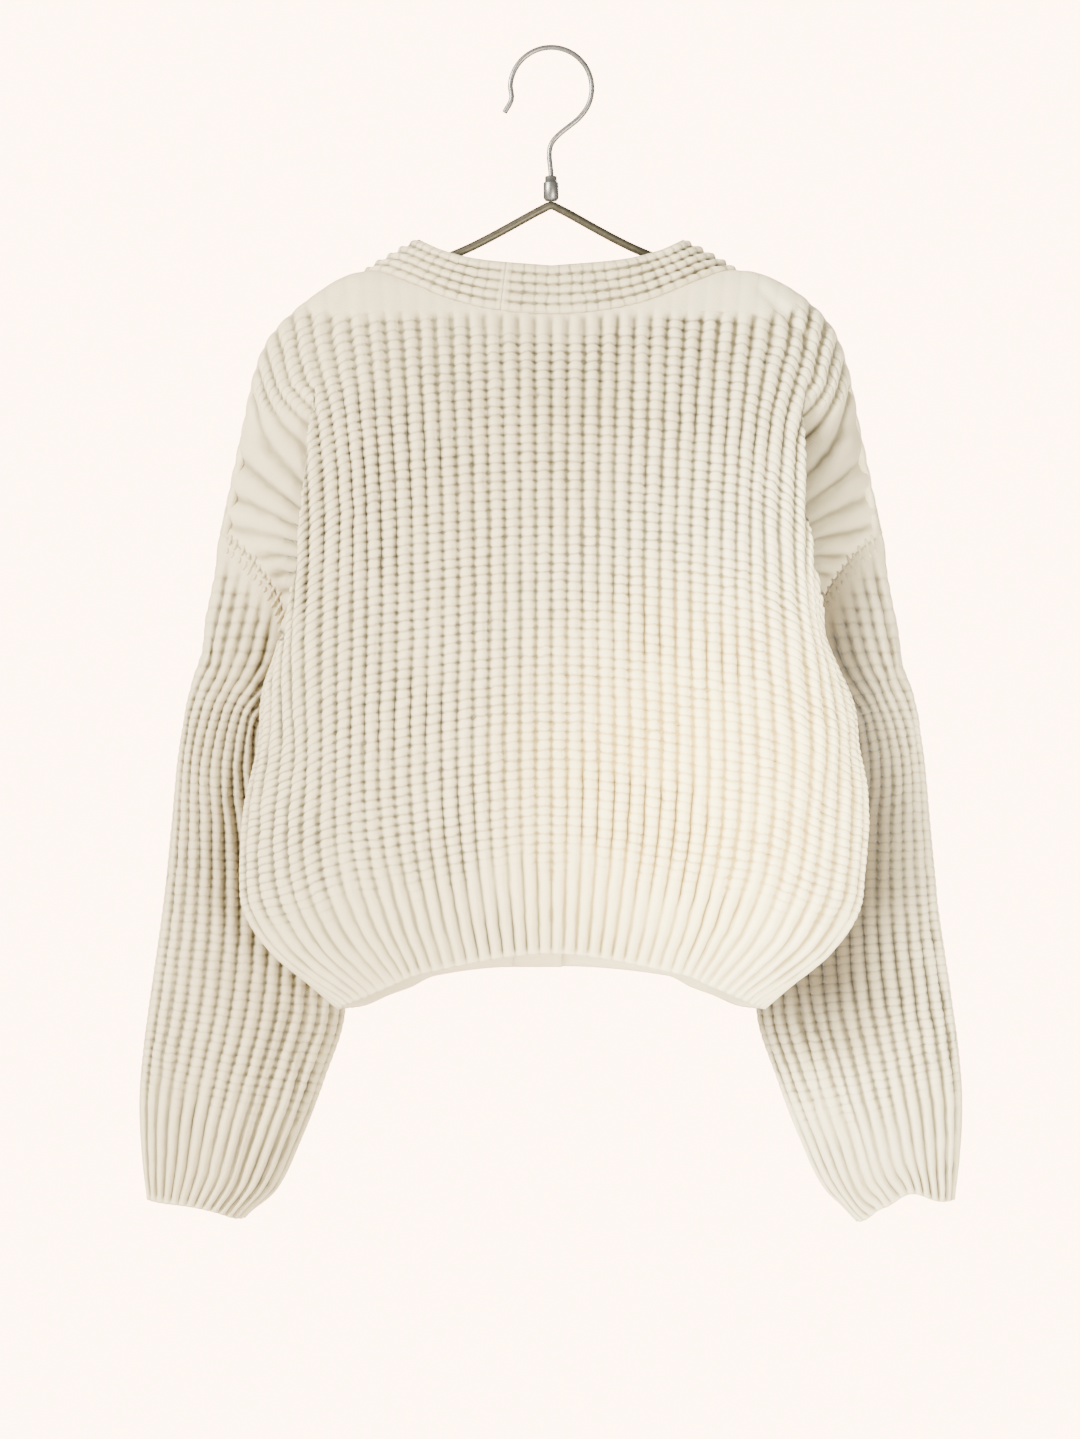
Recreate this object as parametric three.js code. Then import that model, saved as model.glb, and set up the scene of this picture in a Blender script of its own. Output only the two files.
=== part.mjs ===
// A chunky ribbed cardigan, buttoned up, hanging on a slim wire hanger.
// Millimetres, +Z up. The origin is the inside top of the hanger's hook. The wearer's front faces +Y and
// the wearer's left is at -X. Every panel's points lie on the crests of its ribs, its wall inside them.
import * as THREE from "three";

const knit = {
  wall: 5, // from a rib's crest to the plain inside
  groove: 2.6, // how far a groove lies below the crests
  seamGap: 0.3, // between two pieces at a seam
  setBack: 0.8, // how much further the inside of a rim stays from its seam
  insideStep: 4, // half ribs to one column of the plain inside
  fineStep: 2, // the same near a panel's side edges
  fineEdge: 8, // half ribs from a side edge that count as near
};

// The walls thin towards the underarm, where four of them meet in a sharp fold.
const underarm = { x: 190, y: 3, z: -463, wall: 2.4, near: 18, far: 75 };

// Ribs are counted in from the side seam. The guide lines of a panel lie at these ribs.
const ribAt = {
  side: 0,
  fall: 4,
  tip: 8,
  shoulder: 10.8,
  neck: 14,
  bandLeft: 22,
  bandRight: 24,
  centre: 25,
};
const sleeveRibs = 30;
const bandRidges = 5;

// The share of the way from the shoulder to the hem at which the panels have a row of points. The armhole
// ends at armholeDown.
const armholeDown = 0.4;
const bodyRows = [0, 0.02, 0.06, 0.12, 0.2, 0.27, 0.34, armholeDown, 0.5, 0.61, 0.72, 0.82, 0.91, 1];

// Half ribs of the sleeve that meet each stretch of the armhole, from the shoulder end to the underarm.
const armholeSteps = [1, 3, 4, 6, 6, 5, 5];

const neckScoop = { down: 0.0865, power: 2.2 }; // how far the back neck is cut down at the centre
const neckPoint = { down: 0.37, power: 0.92 }; // how far down the V-neck of the fronts ends
const band = { width: 36, seamLeft: 28, seamRight: 8, joinRib: 22, setBack: 1.5, seamShare: 1.6 };
const underlap = { depth: 8, reach: 90 }; // the left front's edge lies this far inside the right one's
const sideSwing = { width: 6, z: -500, height: 60 }; // the right side stands out more than the left
const leftShoulder = { drop: 7, x: 120, z: -185, height: 50 }; // the left shoulder hangs a little lower

const button = {
  radius: 11,
  thickness: 5,
  dish: 1.4,
  rim: 2.2,
  count: 5,
  firstZ: -366,
  lastZ: -640,
  sides: 18,
  probes: 10, // the band is felt at this many places from a button's middle to its edge
  probeY: 120,
};
const hanger = {
  wire: 3, // the arms' radius
  apexZ: -112,
  apexX: 7,
  apexDrop: 3,
  bendX: 62,
  bendZ: -144,
  underRibs: [13, 11, 9], // the wire passes square under these ribs of the shoulder
  chordReach: 1, // ribs to either side of them where the plain inside has its columns
  insideTip: 8.6,
  neckDrop: 3.8,
  tipDrop: 2,
  sides: 8,
  steps: 46,
};
const hook = {
  wire: 1.9,
  radius: 29.4, // of the wire's centre line
  tipAngle: 195,
  endAngle: -48,
  flareX: -33.5,
  flareZ: -45,
  neckZ: -68,
  steps: 44,
  seat: 0.3, // the gap to the ferrule, and from the ferrule to the arms
  ferrule: { radius: 5.5, waist: 4.4, low: -108.6, high: -91, sides: 16 },
};

const row = (down, x, y, z) => ({ down, x, y, z });

// The side seam below the armhole, the same for the back and the front.
const sideSeam = [
  row(0.4, 188, 3, -463),
  row(0.5, 187, 3, -498),
  row(0.6, 196, -1, -532),
  row(0.7, 206, -4, -567),
  row(0.82, 211, -6, -608),
  row(0.92, 192, -7, -654),
  row(1, 154, -9, -690),
];

// The back's guide lines on the wearer's right, from the shoulder down to the hem.
const backGuides = [
  {
    rib: ribAt.side,
    rows: [
      row(0, 239, 0, -348),
      row(0.05, 227, -5, -356),
      row(0.1, 216, -9, -366),
      row(0.2, 196, -12, -394),
      row(0.27, 190, -10, -422),
      row(0.34, 188, -5, -445),
      ...sideSeam,
    ],
  },
  {
    rib: ribAt.fall,
    rows: [
      row(0, 225, 0, -280),
      row(0.02, 221.5, -6, -285),
      row(0.05, 218, -11, -294),
      row(0.1, 211, -17, -312),
      row(0.2, 197, -24, -355),
      row(0.35, 193, -25, -424),
      row(0.5, 208, -21, -482),
      row(0.7, 224, -22, -555),
      row(0.82, 223, -24, -606),
      row(0.92, 200, -26, -648),
      row(1, 148, -30, -687),
    ],
  },
  {
    rib: ribAt.tip,
    rows: [
      row(0, 208, 0, -208),
      row(0.02, 206.5, -8, -212),
      row(0.05, 203, -15, -225),
      row(0.1, 196, -23, -250),
      row(0.2, 182, -34, -298),
      row(0.35, 181, -41, -368),
      row(0.5, 188, -43, -440),
      row(0.7, 191, -47, -537),
      row(0.82, 187, -48, -594),
      row(0.92, 166, -46, -642),
      row(1, 129, -42, -678),
    ],
  },
  {
    rib: ribAt.shoulder,
    rows: [
      row(0, 179, 0, -175),
      row(0.02, 178, -9, -178),
      row(0.05, 176, -17, -191),
      row(0.1, 171, -26, -219),
      row(0.2, 159, -38, -268),
      row(0.35, 153, -46, -342),
      row(0.5, 155, -51, -417),
      row(0.7, 158, -56, -520),
      row(0.82, 155, -57, -580),
      row(0.92, 138, -54, -631),
      row(1, 111, -48, -670),
    ],
  },
  {
    rib: ribAt.neck,
    rows: [
      row(0, 137, 0, -158),
      row(0.02, 136, -9, -161),
      row(0.05, 134, -18, -174),
      row(0.1, 131, -28, -204),
      row(0.2, 126, -41, -256),
      row(0.35, 121, -51, -332),
      row(0.5, 120, -57, -408),
      row(0.7, 122, -63, -512),
      row(0.82, 118, -64, -574),
      row(0.92, 106, -60, -625),
      row(1, 92, -53, -662),
    ],
  },
  {
    rib: ribAt.centre,
    rows: [
      row(0, 0, -20, -150),
      row(0.05, 0, -27, -175),
      row(0.1, 0, -36, -200),
      row(0.2, 0, -49, -249),
      row(0.35, 0, -58, -324),
      row(0.5, 0, -63, -398),
      row(0.7, 0, -69, -498),
      row(0.82, 0, -70, -558),
      row(0.92, 0, -66, -607),
      row(1, 0, -58, -647),
    ],
  },
];

// A front's guide lines, up to its seam with the band. Above the V-neck the last one is not on the panel.
const frontGuides = (bandRib, bandX) => [
  {
    rib: ribAt.side,
    rows: [
      row(0, 239, 0, -348),
      row(0.05, 233, 13, -358),
      row(0.1, 228, 23, -371),
      row(0.2, 215, 36, -400),
      row(0.27, 206, 30, -430),
      row(0.34, 197, 17, -452),
      ...sideSeam,
    ],
  },
  {
    rib: ribAt.fall,
    rows: [
      row(0, 225, 0, -280),
      row(0.02, 221.8, 6, -285),
      row(0.05, 219, 11, -294),
      row(0.1, 213, 18, -313),
      row(0.2, 200, 29, -352),
      row(0.3, 184, 33, -398),
      row(0.4, 172, 26, -437),
      row(0.5, 167, 20, -480),
      row(0.6, 170, 17, -522),
      row(0.7, 176, 15, -562),
      row(0.85, 175, 13, -625),
      row(1, 136, 6, -689),
    ],
  },
  {
    rib: ribAt.tip,
    rows: [
      row(0, 208, 0, -208),
      row(0.02, 206, 7, -212),
      row(0.05, 202, 13, -224),
      row(0.1, 194, 20, -250),
      row(0.2, 177, 29, -300),
      row(0.35, 155, 35, -376),
      row(0.5, 141, 32, -450),
      row(0.7, 144, 30, -548),
      row(0.85, 141, 28, -618),
      row(1, 117, 21, -682),
    ],
  },
  {
    rib: ribAt.shoulder,
    rows: [
      row(0, 179, 0, -175),
      row(0.02, 177.5, 8, -178),
      row(0.05, 174, 15, -190),
      row(0.1, 167, 22, -218),
      row(0.2, 149, 31, -270),
      row(0.35, 134, 38, -348),
      row(0.5, 123, 38, -428),
      row(0.7, 124, 38, -530),
      row(0.85, 121, 37, -606),
      row(1, 102, 29, -677),
    ],
  },
  {
    rib: ribAt.neck,
    rows: [
      row(0, 137, 0, -158),
      row(0.02, 135.5, 9, -161),
      row(0.05, 132.5, 17, -174),
      row(0.1, 126, 25, -204),
      row(0.2, 116, 33, -258),
      row(0.35, 107, 40, -338),
      row(0.5, 101, 42, -416),
      row(0.7, 100, 43, -519),
      row(0.85, 98, 42, -596),
      row(1, 84, 36, -669),
    ],
  },
  {
    rib: bandRib,
    rows: [
      row(0, bandX, 14, -158),
      row(0.1, bandX, 24, -209),
      row(0.2, bandX, 32, -260),
      row(0.35, bandX, 41, -337),
      row(0.5, bandX, 47, -413),
      row(0.7, bandX, 51, -515),
      row(0.85, bandX, 52, -592),
      row(1, bandX, 46, -663),
    ],
  },
];

// The band's free edge round the right of the neck, above the seam's place on the back (at a rib) and on the
// front (at a share of the V-neck's length). Below that it stays square to its seam.
const freeBack = (rib, x, y, z) => ({ rib, x, y, z });
const neckEdgeBack = [
  freeBack(ribAt.neck, 96, 1, -134.5),
  freeBack(15.5, 90, -11, -139.5),
  freeBack(17, 78, -16, -145.5),
  freeBack(20, 52, -21, -152.5),
  freeBack(ribAt.centre, 0, -24, -157.5),
];
const freeFront = (share, x, y, z) => ({ share, x, y, z });
const neckEdgeFront = [
  freeFront(0, 96, 1, -134.5),
  freeFront(0.05, 94.5, 11, -140.5),
  freeFront(0.1, 88.5, 16, -151),
  freeFront(0.15, 81.5, 18, -163),
  freeFront(0.2, 73.5, 18.5, -175.8),
];

// The right sleeve's rings below the armhole. turn swings the ring's outer end back in plan, lean lifts it,
// and under is where the line down from the underarm lies, as a share of the way round behind the sleeve.
const ring = (z, x, halfWidth, y, halfDepth, turn, lean, under) => ({
  z, x, halfWidth, y, halfDepth, turn, lean, under,
});
const sleeveRings = [
  ring(-467, 230, 34.5, 16, 34, 6, 24, 0.45),
  ring(-514, 225, 48, 33, 33, 10, 12, 0.47),
  ring(-562, 219, 60, 47, 32, 15, 4, 0.48),
  ring(-615, 217, 68.5, 55, 31, 15, 3, 0.49),
  ring(-688, 222.5, 73, 56, 30, 14, 6, 0.5),
  ring(-738, 233.5, 68.5, 56, 28, 13, 10, 0.5),
  ring(-780, 243.5, 61.5, 55, 25, 12, 14, 0.5),
  ring(-815, 251, 52, 54, 22, 11, 15, 0.5),
  ring(-841, 261, 37, 53, 19, 10, 11, 0.5),
];

const vec = (x, y, z) => new THREE.Vector3(x, y, z);
const smooth = (t) => THREE.MathUtils.smoothstep(t, 0, 1);
const degrees = THREE.MathUtils.degToRad;

// A coordinate's slope at a station: that of its two neighbours, or level where the curve turns back there.
function slopeOf(axis, stations, points, k) {
  const rise = (i) => (points[i + 1][axis] - points[i][axis]) / (stations[i + 1] - stations[i]);
  if (k === 0) return rise(0);
  if (k === stations.length - 1) return rise(k - 1);
  const [before, after] = [rise(k - 1), rise(k)];
  if (before * after <= 0) return 0;
  const across = (points[k + 1][axis] - points[k - 1][axis]) / (stations[k + 1] - stations[k - 1]);
  return Math.sign(across) * Math.min(Math.abs(across), 3 * Math.abs(before), 3 * Math.abs(after));
}

// A smooth curve through points at unevenly spaced stations. It never swings past them.
function along(stations, points, at) {
  const last = stations.length - 1;
  let i = 0;
  while (i < last - 1 && at > stations[i + 1]) i++;
  const span = stations[i + 1] - stations[i];
  const slope = (k) => vec(...["x", "y", "z"].map((axis) => slopeOf(axis, stations, points, k)));
  const t = (at - stations[i]) / span;
  return points[i].clone().multiplyScalar((1 + 2 * t) * (1 - t) * (1 - t))
    .addScaledVector(points[i + 1], t * t * (3 - 2 * t))
    .addScaledVector(slope(i), span * t * (1 - t) * (1 - t))
    .addScaledVector(slope(i + 1), -span * t * t * (1 - t));
}

// The curve down one table of rows.
function downCurve(rows) {
  const stations = rows.map((r) => r.down);
  const points = rows.map((r) => vec(r.x, r.y, r.z));
  return (down) => along(stations, points, down);
}

// A panel's surface on one side of the body, from its guide lines: rib and down give a point on the crests.
// The guide beyond the innermost one mirrors its neighbour, so that the panel crosses the centre squarely.
function surface(guides, side, adjust) {
  const curves = guides.map((g) => downCurve(g.rows));
  const ribs = guides.map((g) => g.rib);
  const inner = ribs.length - 1;
  const stations = [...ribs, 2 * ribs[inner] - ribs[inner - 1]];
  return (rib, down) => {
    const points = curves.map((curve) => curve(down));
    const mirrored = points[inner - 1].clone();
    mirrored.x = 2 * points[inner].x - mirrored.x;
    const p = along(stations, [...points, mirrored], rib);
    const swing = sideSwing.width * Math.exp(-(((p.z - sideSwing.z) / sideSwing.height) ** 2));
    p.x += side * swing * smooth((p.x - 120) / 80) * smooth((down - 0.2) / 0.2);
    if (side < 0) {
      const near = Math.exp(-(((p.z - leftShoulder.z) / leftShoulder.height) ** 2));
      p.z -= leftShoulder.drop * near * smooth((p.x - leftShoulder.x) / 60);
    }
    p.x *= side;
    return adjust ? adjust(p) : p;
  };
}

const backSurface = { 1: surface(backGuides, 1), [-1]: surface(backGuides, -1) };

// The left front lies under the right one, so it is drawn in towards the body near the band.
const tuckUnder = (p) => {
  p.y -= underlap.depth * smooth(1 - (Math.abs(p.x) - band.seamLeft) / underlap.reach);
  return p;
};
const frontSurface = {
  1: surface(frontGuides(ribAt.bandRight, band.seamRight), 1),
  [-1]: surface(frontGuides(ribAt.bandLeft, band.seamLeft), -1, tuckUnder),
};

// Where a back or front column starts: at the shoulder, or further down under the neck.
function backTop(rib) {
  if (rib <= ribAt.neck) return 0;
  const fromCentre = (ribAt.centre - rib) / (ribAt.centre - ribAt.neck);
  return neckScoop.down * (1 - fromCentre ** neckScoop.power);
}

function frontTop(rib, bandRib) {
  if (rib <= ribAt.neck) return 0;
  const fromNeck = (rib - ribAt.neck) / (bandRib - ribAt.neck);
  return neckPoint.down * fromNeck ** neckPoint.power;
}

// The point at a share of the way round an ellipse, measured along its edge.
function ellipseTable(halfWidth, halfDepth) {
  const steps = 360;
  const lengths = [0];
  const at = (i) => {
    const angle = (2 * Math.PI * i) / steps;
    return [halfWidth * Math.cos(angle), halfDepth * Math.sin(angle)];
  };
  for (let i = 1; i <= steps; i++) {
    const [x0, y0] = at(i - 1);
    const [x1, y1] = at(i);
    lengths.push(lengths[i - 1] + Math.hypot(x1 - x0, y1 - y0));
  }
  return (share) => {
    const wanted = (share - Math.floor(share)) * lengths[steps];
    let i = 0;
    while (i < steps - 1 && lengths[i + 1] < wanted) i++;
    return at(i + (wanted - lengths[i]) / (lengths[i + 1] - lengths[i]));
  };
}

// The points of a hanging sleeve's rings, one to a half rib.
function ringNet(side) {
  const columns = sleeveRibs * 2;
  const bottom = columns / 2;
  return sleeveRings.map((r) => {
    const ellipse = ellipseTable(r.halfWidth, r.halfDepth);
    const turn = degrees(r.turn);
    const lean = degrees(r.lean);
    return Array.from({ length: columns }, (_, c) => {
      const before = (c / bottom) * r.under;
      const beyond = r.under + ((c - bottom) / bottom) * (1 - r.under);
      const [u, w] = ellipse(1 - (c <= bottom ? before : beyond));
      const out = u * Math.cos(turn) + w * Math.sin(turn);
      const y = r.y - u * Math.sin(turn) + w * Math.cos(turn);
      return vec(side * (r.x + out * Math.cos(lean)), y, r.z + out * Math.sin(lean));
    });
  });
}

const sleeveNet = { 1: ringNet(1), [-1]: ringNet(-1) };

// A surface's outward normal and its two directions at a point, by small steps that stay on it. turn is 1 on
// the right of the back and the left of the front, where the cross product points outwards, and -1 elsewhere.
function frameAt(at, rib, down, ribRange, turn) {
  const stepRib = 0.25;
  const stepDown = 0.004;
  const r0 = Math.max(rib - stepRib, ribRange[0]);
  const r1 = Math.min(rib + stepRib, ribRange[1]);
  const d0 = Math.max(down - stepDown, 0);
  const d1 = Math.min(down + stepDown, 1);
  const inwards = at(r1, down).sub(at(r0, down)).normalize();
  const downwards = at(rib, d1).sub(at(rib, d0)).normalize();
  const normal = inwards.clone().cross(downwards).multiplyScalar(turn).normalize();
  return { normal, inwards, downwards };
}

// The way the shoulder line faces: up and out, square to the line.
function shoulderFacing(side, rib) {
  const before = backSurface[side](Math.max(rib - 0.5, 0), 0);
  const after = backSurface[side](Math.min(rib + 0.5, ribAt.neck), 0);
  const line = after.sub(before);
  return vec(side * Math.abs(line.z), 0, Math.abs(line.x)).normalize();
}

// The way the rims on both sides of the armhole seam face: half way between the panel and the sleeve, square
// to the seam. place is a row of the body's, counted down from the shoulder end.
function armholeNormal(side, place, face) {
  const isBack = face === "back";
  const at = (isBack ? backSurface : frontSurface)[side];
  const down = bodyRows[place];
  const panel = frameAt(at, ribAt.side, down, [0, ribAt.neck], isBack ? side : -side).normal;
  const before = at(0, bodyRows[Math.max(place - 1, 0)]);
  const after = at(0, bodyRows[Math.min(place + 1, armholeSteps.length)]);
  const line = after.sub(before).normalize();
  const met = armholeSteps.slice(0, place).reduce((sum, steps) => sum + steps, 0);
  const column = isBack || met === 0 ? met : 2 * sleeveRibs - met;
  const away = sleeveNet[side][0][column].clone().sub(at(0, down));
  const sleeve = line.clone().cross(away).multiplyScalar(isBack ? side : -side).normalize();
  const seam = panel.add(sleeve);
  return seam.addScaledVector(line, -seam.dot(line)).normalize();
}

// The way the underarm's end of the seam faces, where the back's and the front's meet.
function underarmNormal(side) {
  const last = armholeSteps.length;
  return armholeNormal(side, last, "back").add(armholeNormal(side, last, "front")).normalize();
}

// One point of a panel with the way its rim or surface faces, and the step that keeps a rim off its seam.
function panelPoint(face, side, rib, down, top) {
  const isBack = face === "back";
  const at = isBack ? backSurface[side] : frontSurface[side];
  const innermost = isBack ? ribAt.centre : side > 0 ? ribAt.bandRight : ribAt.bandLeft;
  const turn = isBack ? side : -side;
  const here = frameAt(at, rib, down, [0, innermost], turn);
  const point = at(rib, down);
  const off = vec(0, 0, 0);
  let normal = here.normal;
  if (down === top) off.add(here.downwards);
  if (down === 0) normal = shoulderFacing(side, rib);
  if (rib === ribAt.side) {
    off.add(here.inwards);
    if (down > 0 && down < armholeDown) normal = armholeNormal(side, bodyRows.indexOf(down), face);
    if (down === armholeDown) normal = underarmNormal(side);
    if (down > armholeDown) {
      const other = (isBack ? frontSurface : backSurface)[side];
      const beyond = frameAt(other, rib, down, [0, ribAt.neck], -turn).normal;
      const own = squareOff(here.normal, at, other, down);
      normal = own.add(squareOff(beyond, at, other, down)).normalize();
    }
  }
  if (!isBack && rib === innermost) off.add(here.inwards.clone().negate());
  return { point, normal, off };
}

// A normal turned square to the side seam.
function squareOff(normal, at, other, down) {
  const line = at(0, Math.min(down + 0.01, 1)).sub(at(0, down - 0.01)).normalize();
  return normal.clone().addScaledVector(line, -normal.dot(line)).normalize();
}

// How much of its full thickness a wall has at a point.
function fullness(point) {
  const { x, y, z, near, far } = underarm;
  const away = point.distanceTo(vec(Math.sign(point.x) * x, y, z));
  return (underarm.wall + (knit.wall - underarm.wall) * smooth((away - near) / (far - near))) / knit.wall;
}

// The wall's outer and inner points at one grid place. groove is how far the outer one lies below a crest.
function wallPoint({ point, normal, off }, groove, setBack = knit.setBack) {
  const full = fullness(point);
  const outer = point.clone().addScaledVector(off, knit.seamGap / 2);
  outer.addScaledVector(normal, -groove * full);
  const inner = point.clone().addScaledVector(off, knit.seamGap / 2 + setBack);
  inner.addScaledVector(normal, -knit.wall * full);
  return { outer, inner };
}

const grooveAt = (halfRib) => (halfRib % 2 === 0 ? knit.groove : 0);

// A closed wall from rows of outer and inner points. The inside keeps one column in every insideStep.
function wallGeometry(rows, { wraps = false, insideStep = knit.insideStep } = {}) {
  const positions = [];
  const index = [];
  const columns = rows[0].length;
  const add = (p) => positions.push(p.x, p.y, p.z) / 3 - 1;
  const insideAt = [];
  const nearEdge = (c) => c < knit.fineEdge || c >= columns - 1 - knit.fineEdge;
  for (let c = 0; c < columns; c += nearEdge(c) ? knit.fineStep : insideStep) insideAt.push(c);
  if (!wraps && insideAt.at(-1) !== columns - 1) insideAt.push(columns - 1);
  const outer = rows.map((cells) => cells.map((cell) => add(cell.outer)));
  const inner = rows.map((cells) => insideAt.map((c) => add(cells[c].inner)));
  const spans = (count) => (wraps ? count : count - 1);
  const next = (line, c) => line[(c + 1) % line.length];
  for (let r = 0; r < rows.length - 1; r++) {
    for (let c = 0; c < spans(columns); c++) {
      const [a, b] = [outer[r][c], next(outer[r], c)];
      const [d, e] = [outer[r + 1][c], next(outer[r + 1], c)];
      index.push(a, b, e, a, e, d);
    }
    for (let c = 0; c < spans(insideAt.length); c++) {
      const [a, b] = [inner[r][c], next(inner[r], c)];
      const [d, e] = [inner[r + 1][c], next(inner[r + 1], c)];
      index.push(a, e, b, a, d, e);
    }
    if (wraps) continue;
    const [o, i] = [outer[r][0], inner[r][0]];
    const [o2, i2] = [outer[r + 1][0], inner[r + 1][0]];
    index.push(o, o2, i, o2, i2, i);
    const [p, q] = [outer[r].at(-1), inner[r].at(-1)];
    const [p2, q2] = [outer[r + 1].at(-1), inner[r + 1].at(-1)];
    index.push(p, q, p2, p2, q, q2);
  }
  for (const [r, flip] of [[0, false], [rows.length - 1, true]]) {
    const push = (a, b, c) => (flip ? index.push(a, b, c) : index.push(a, c, b));
    for (let k = 0; k < spans(insideAt.length); k++) {
      const from = insideAt[k];
      const to = k + 1 < insideAt.length ? insideAt[k + 1] : columns;
      const middle = Math.floor((from + to) / 2);
      const [i, j] = [inner[r][k], next(inner[r], k)];
      for (let c = from; c < middle; c++) push(outer[r][c], next(outer[r], c), i);
      push(outer[r][middle], j, i);
      for (let c = middle; c < to; c++) push(outer[r][c], next(outer[r], c), j);
    }
  }
  const geometry = new THREE.BufferGeometry();
  geometry.setAttribute("position", new THREE.Float32BufferAttribute(positions, 3));
  geometry.setIndex(index);
  return facingOut(geometry);
}

// The geometry with its faces turned to point out, whichever way they were wound.
function facingOut(geometry) {
  const p = geometry.getAttribute("position");
  const index = geometry.getIndex();
  const corner = (i) => new THREE.Vector3().fromBufferAttribute(p, index.getX(i));
  let volume = 0;
  for (let i = 0; i < index.count; i += 3) volume += corner(i).dot(corner(i + 1).cross(corner(i + 2)));
  if (volume < 0) {
    for (let i = 0; i < index.count; i += 3) {
      const swap = index.getX(i + 1);
      index.setX(i + 1, index.getX(i + 2));
      index.setX(i + 2, swap);
    }
  }
  geometry.computeVertexNormals();
  return geometry;
}

const halfRibs = (from, to) =>
  Array.from({ length: Math.round((to - from) * 2) + 1 }, (_, i) => from + i / 2);

function backGeometry() {
  const half = halfRibs(0, ribAt.centre);
  const columns = [
    ...half.map((rib) => ({ side: -1, rib })),
    ...half.slice(0, -1).reverse().map((rib) => ({ side: 1, rib })),
  ];
  const rows = bodyRows.map((share) =>
    columns.map(({ side, rib }, c) => {
      const top = backTop(rib);
      const down = top + (1 - top) * share;
      return wallPoint(panelPoint("back", side, rib, down, top), grooveAt(c));
    }),
  );
  return wallGeometry(rows);
}

function frontGeometry(side) {
  const bandRib = side > 0 ? ribAt.bandRight : ribAt.bandLeft;
  const rows = bodyRows.map((share) =>
    halfRibs(0, bandRib).map((rib, c) => {
      const top = frontTop(rib, bandRib);
      const down = top + (1 - top) * share;
      return wallPoint(panelPoint("front", side, rib, down, top), grooveAt(c));
    }),
  );
  return wallGeometry(rows);
}

// The armhole's edge as the sleeve meets it: half ribs from the shoulder end down the back to the underarm,
// and up the front again, each on the straight line between two of the body's rows.
function armholeRing(side) {
  const walk = (face) => {
    const edge = (face === "back" ? backSurface : frontSurface)[side];
    const cells = [];
    armholeSteps.forEach((steps, k) => {
      const [d0, d1] = [bodyRows[k], bodyRows[k + 1]];
      const [p0, p1] = [edge(0, d0), edge(0, d1)];
      const n0 = k === 0 ? shoulderFacing(side, 0) : armholeNormal(side, k, face);
      const n1 = k + 1 === armholeSteps.length ? underarmNormal(side) : armholeNormal(side, k + 1, face);
      for (let i = 0; i < steps; i++) {
        cells.push({ point: p0.clone().lerp(p1, i / steps), normal: n0.clone().lerp(n1, i / steps) });
      }
      if (k === armholeSteps.length - 1) cells.push({ point: p1, normal: n1 });
    });
    return cells;
  };
  const back = walk("back");
  const front = walk("front").reverse();
  return [...back, ...front.slice(1, -1)];
}

// A sleeve: the armhole's edge, then the hanging tube's rings down to the cuff.
function sleeveGeometry(side) {
  const columns = sleeveRibs * 2;
  const net = sleeveNet[side];
  const armhole = armholeRing(side);
  const rings = [armhole.map((cell) => cell.point), ...net];
  const rows = rings.map((points, r) =>
    points.map((point, c) => {
      const around = points[(c + 1) % columns].clone().sub(points[(c + columns - 1) % columns]);
      const down = rings[Math.min(r + 1, rings.length - 1)][c].clone().sub(rings[Math.max(r - 1, 0)][c]);
      const normal = around.cross(down).multiplyScalar(side).normalize();
      if (r > 0) return wallPoint({ point, normal, off: vec(0, 0, 0) }, grooveAt(c));
      const off = net[0][c].clone().sub(point).normalize();
      return wallPoint({ point, normal: armhole[c].normal, off }, grooveAt(c));
    }),
  );
  return wallGeometry(rows, { wraps: true, insideStep: knit.fineStep });
}

// The place on the band's free edge across from a place on its seam.
function freeEdge(side, rows, station, key) {
  const p = along(rows.map((r) => r[key]), rows.map((r) => vec(r.x, r.y, r.z)), station);
  p.x *= side;
  return p;
}

// The line where a half of the band is sewn on, with the free edge across from each place: round the back
// neck from the join, over the shoulder, down the V-neck and down the front's edge to the hem.
function bandLines(side) {
  const bandRib = side > 0 ? ribAt.bandRight : ribAt.bandLeft;
  const onBack = (backSide, rib) => ({
    ...panelPoint("back", backSide, rib, backTop(rib), backTop(rib)),
    free: freeEdge(backSide, neckEdgeBack, rib, "rib"),
  });
  const onFront = (rib, down) => {
    const share = (rib - ribAt.neck) / (bandRib - ribAt.neck);
    const known = share <= neckEdgeFront.at(-1).share;
    return {
      ...panelPoint("front", side, rib, down, down),
      free: known ? freeEdge(side, neckEdgeFront, share, "share") : null,
    };
  };
  const places = [];
  if (side > 0) places.push(...halfRibs(band.joinRib, ribAt.centre - 0.5).map((rib) => onBack(-1, rib)));
  const start = side > 0 ? ribAt.centre : band.joinRib;
  places.push(...halfRibs(ribAt.neck, start).reverse().map((rib) => onBack(side, rib)));
  places.push(...halfRibs(ribAt.neck + 0.5, bandRib).map((rib) => onFront(rib, frontTop(rib, bandRib))));
  for (const share of bodyRows.slice(1)) {
    places.push(onFront(bandRib, neckPoint.down + (1 - neckPoint.down) * share));
  }
  return places;
}

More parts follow.
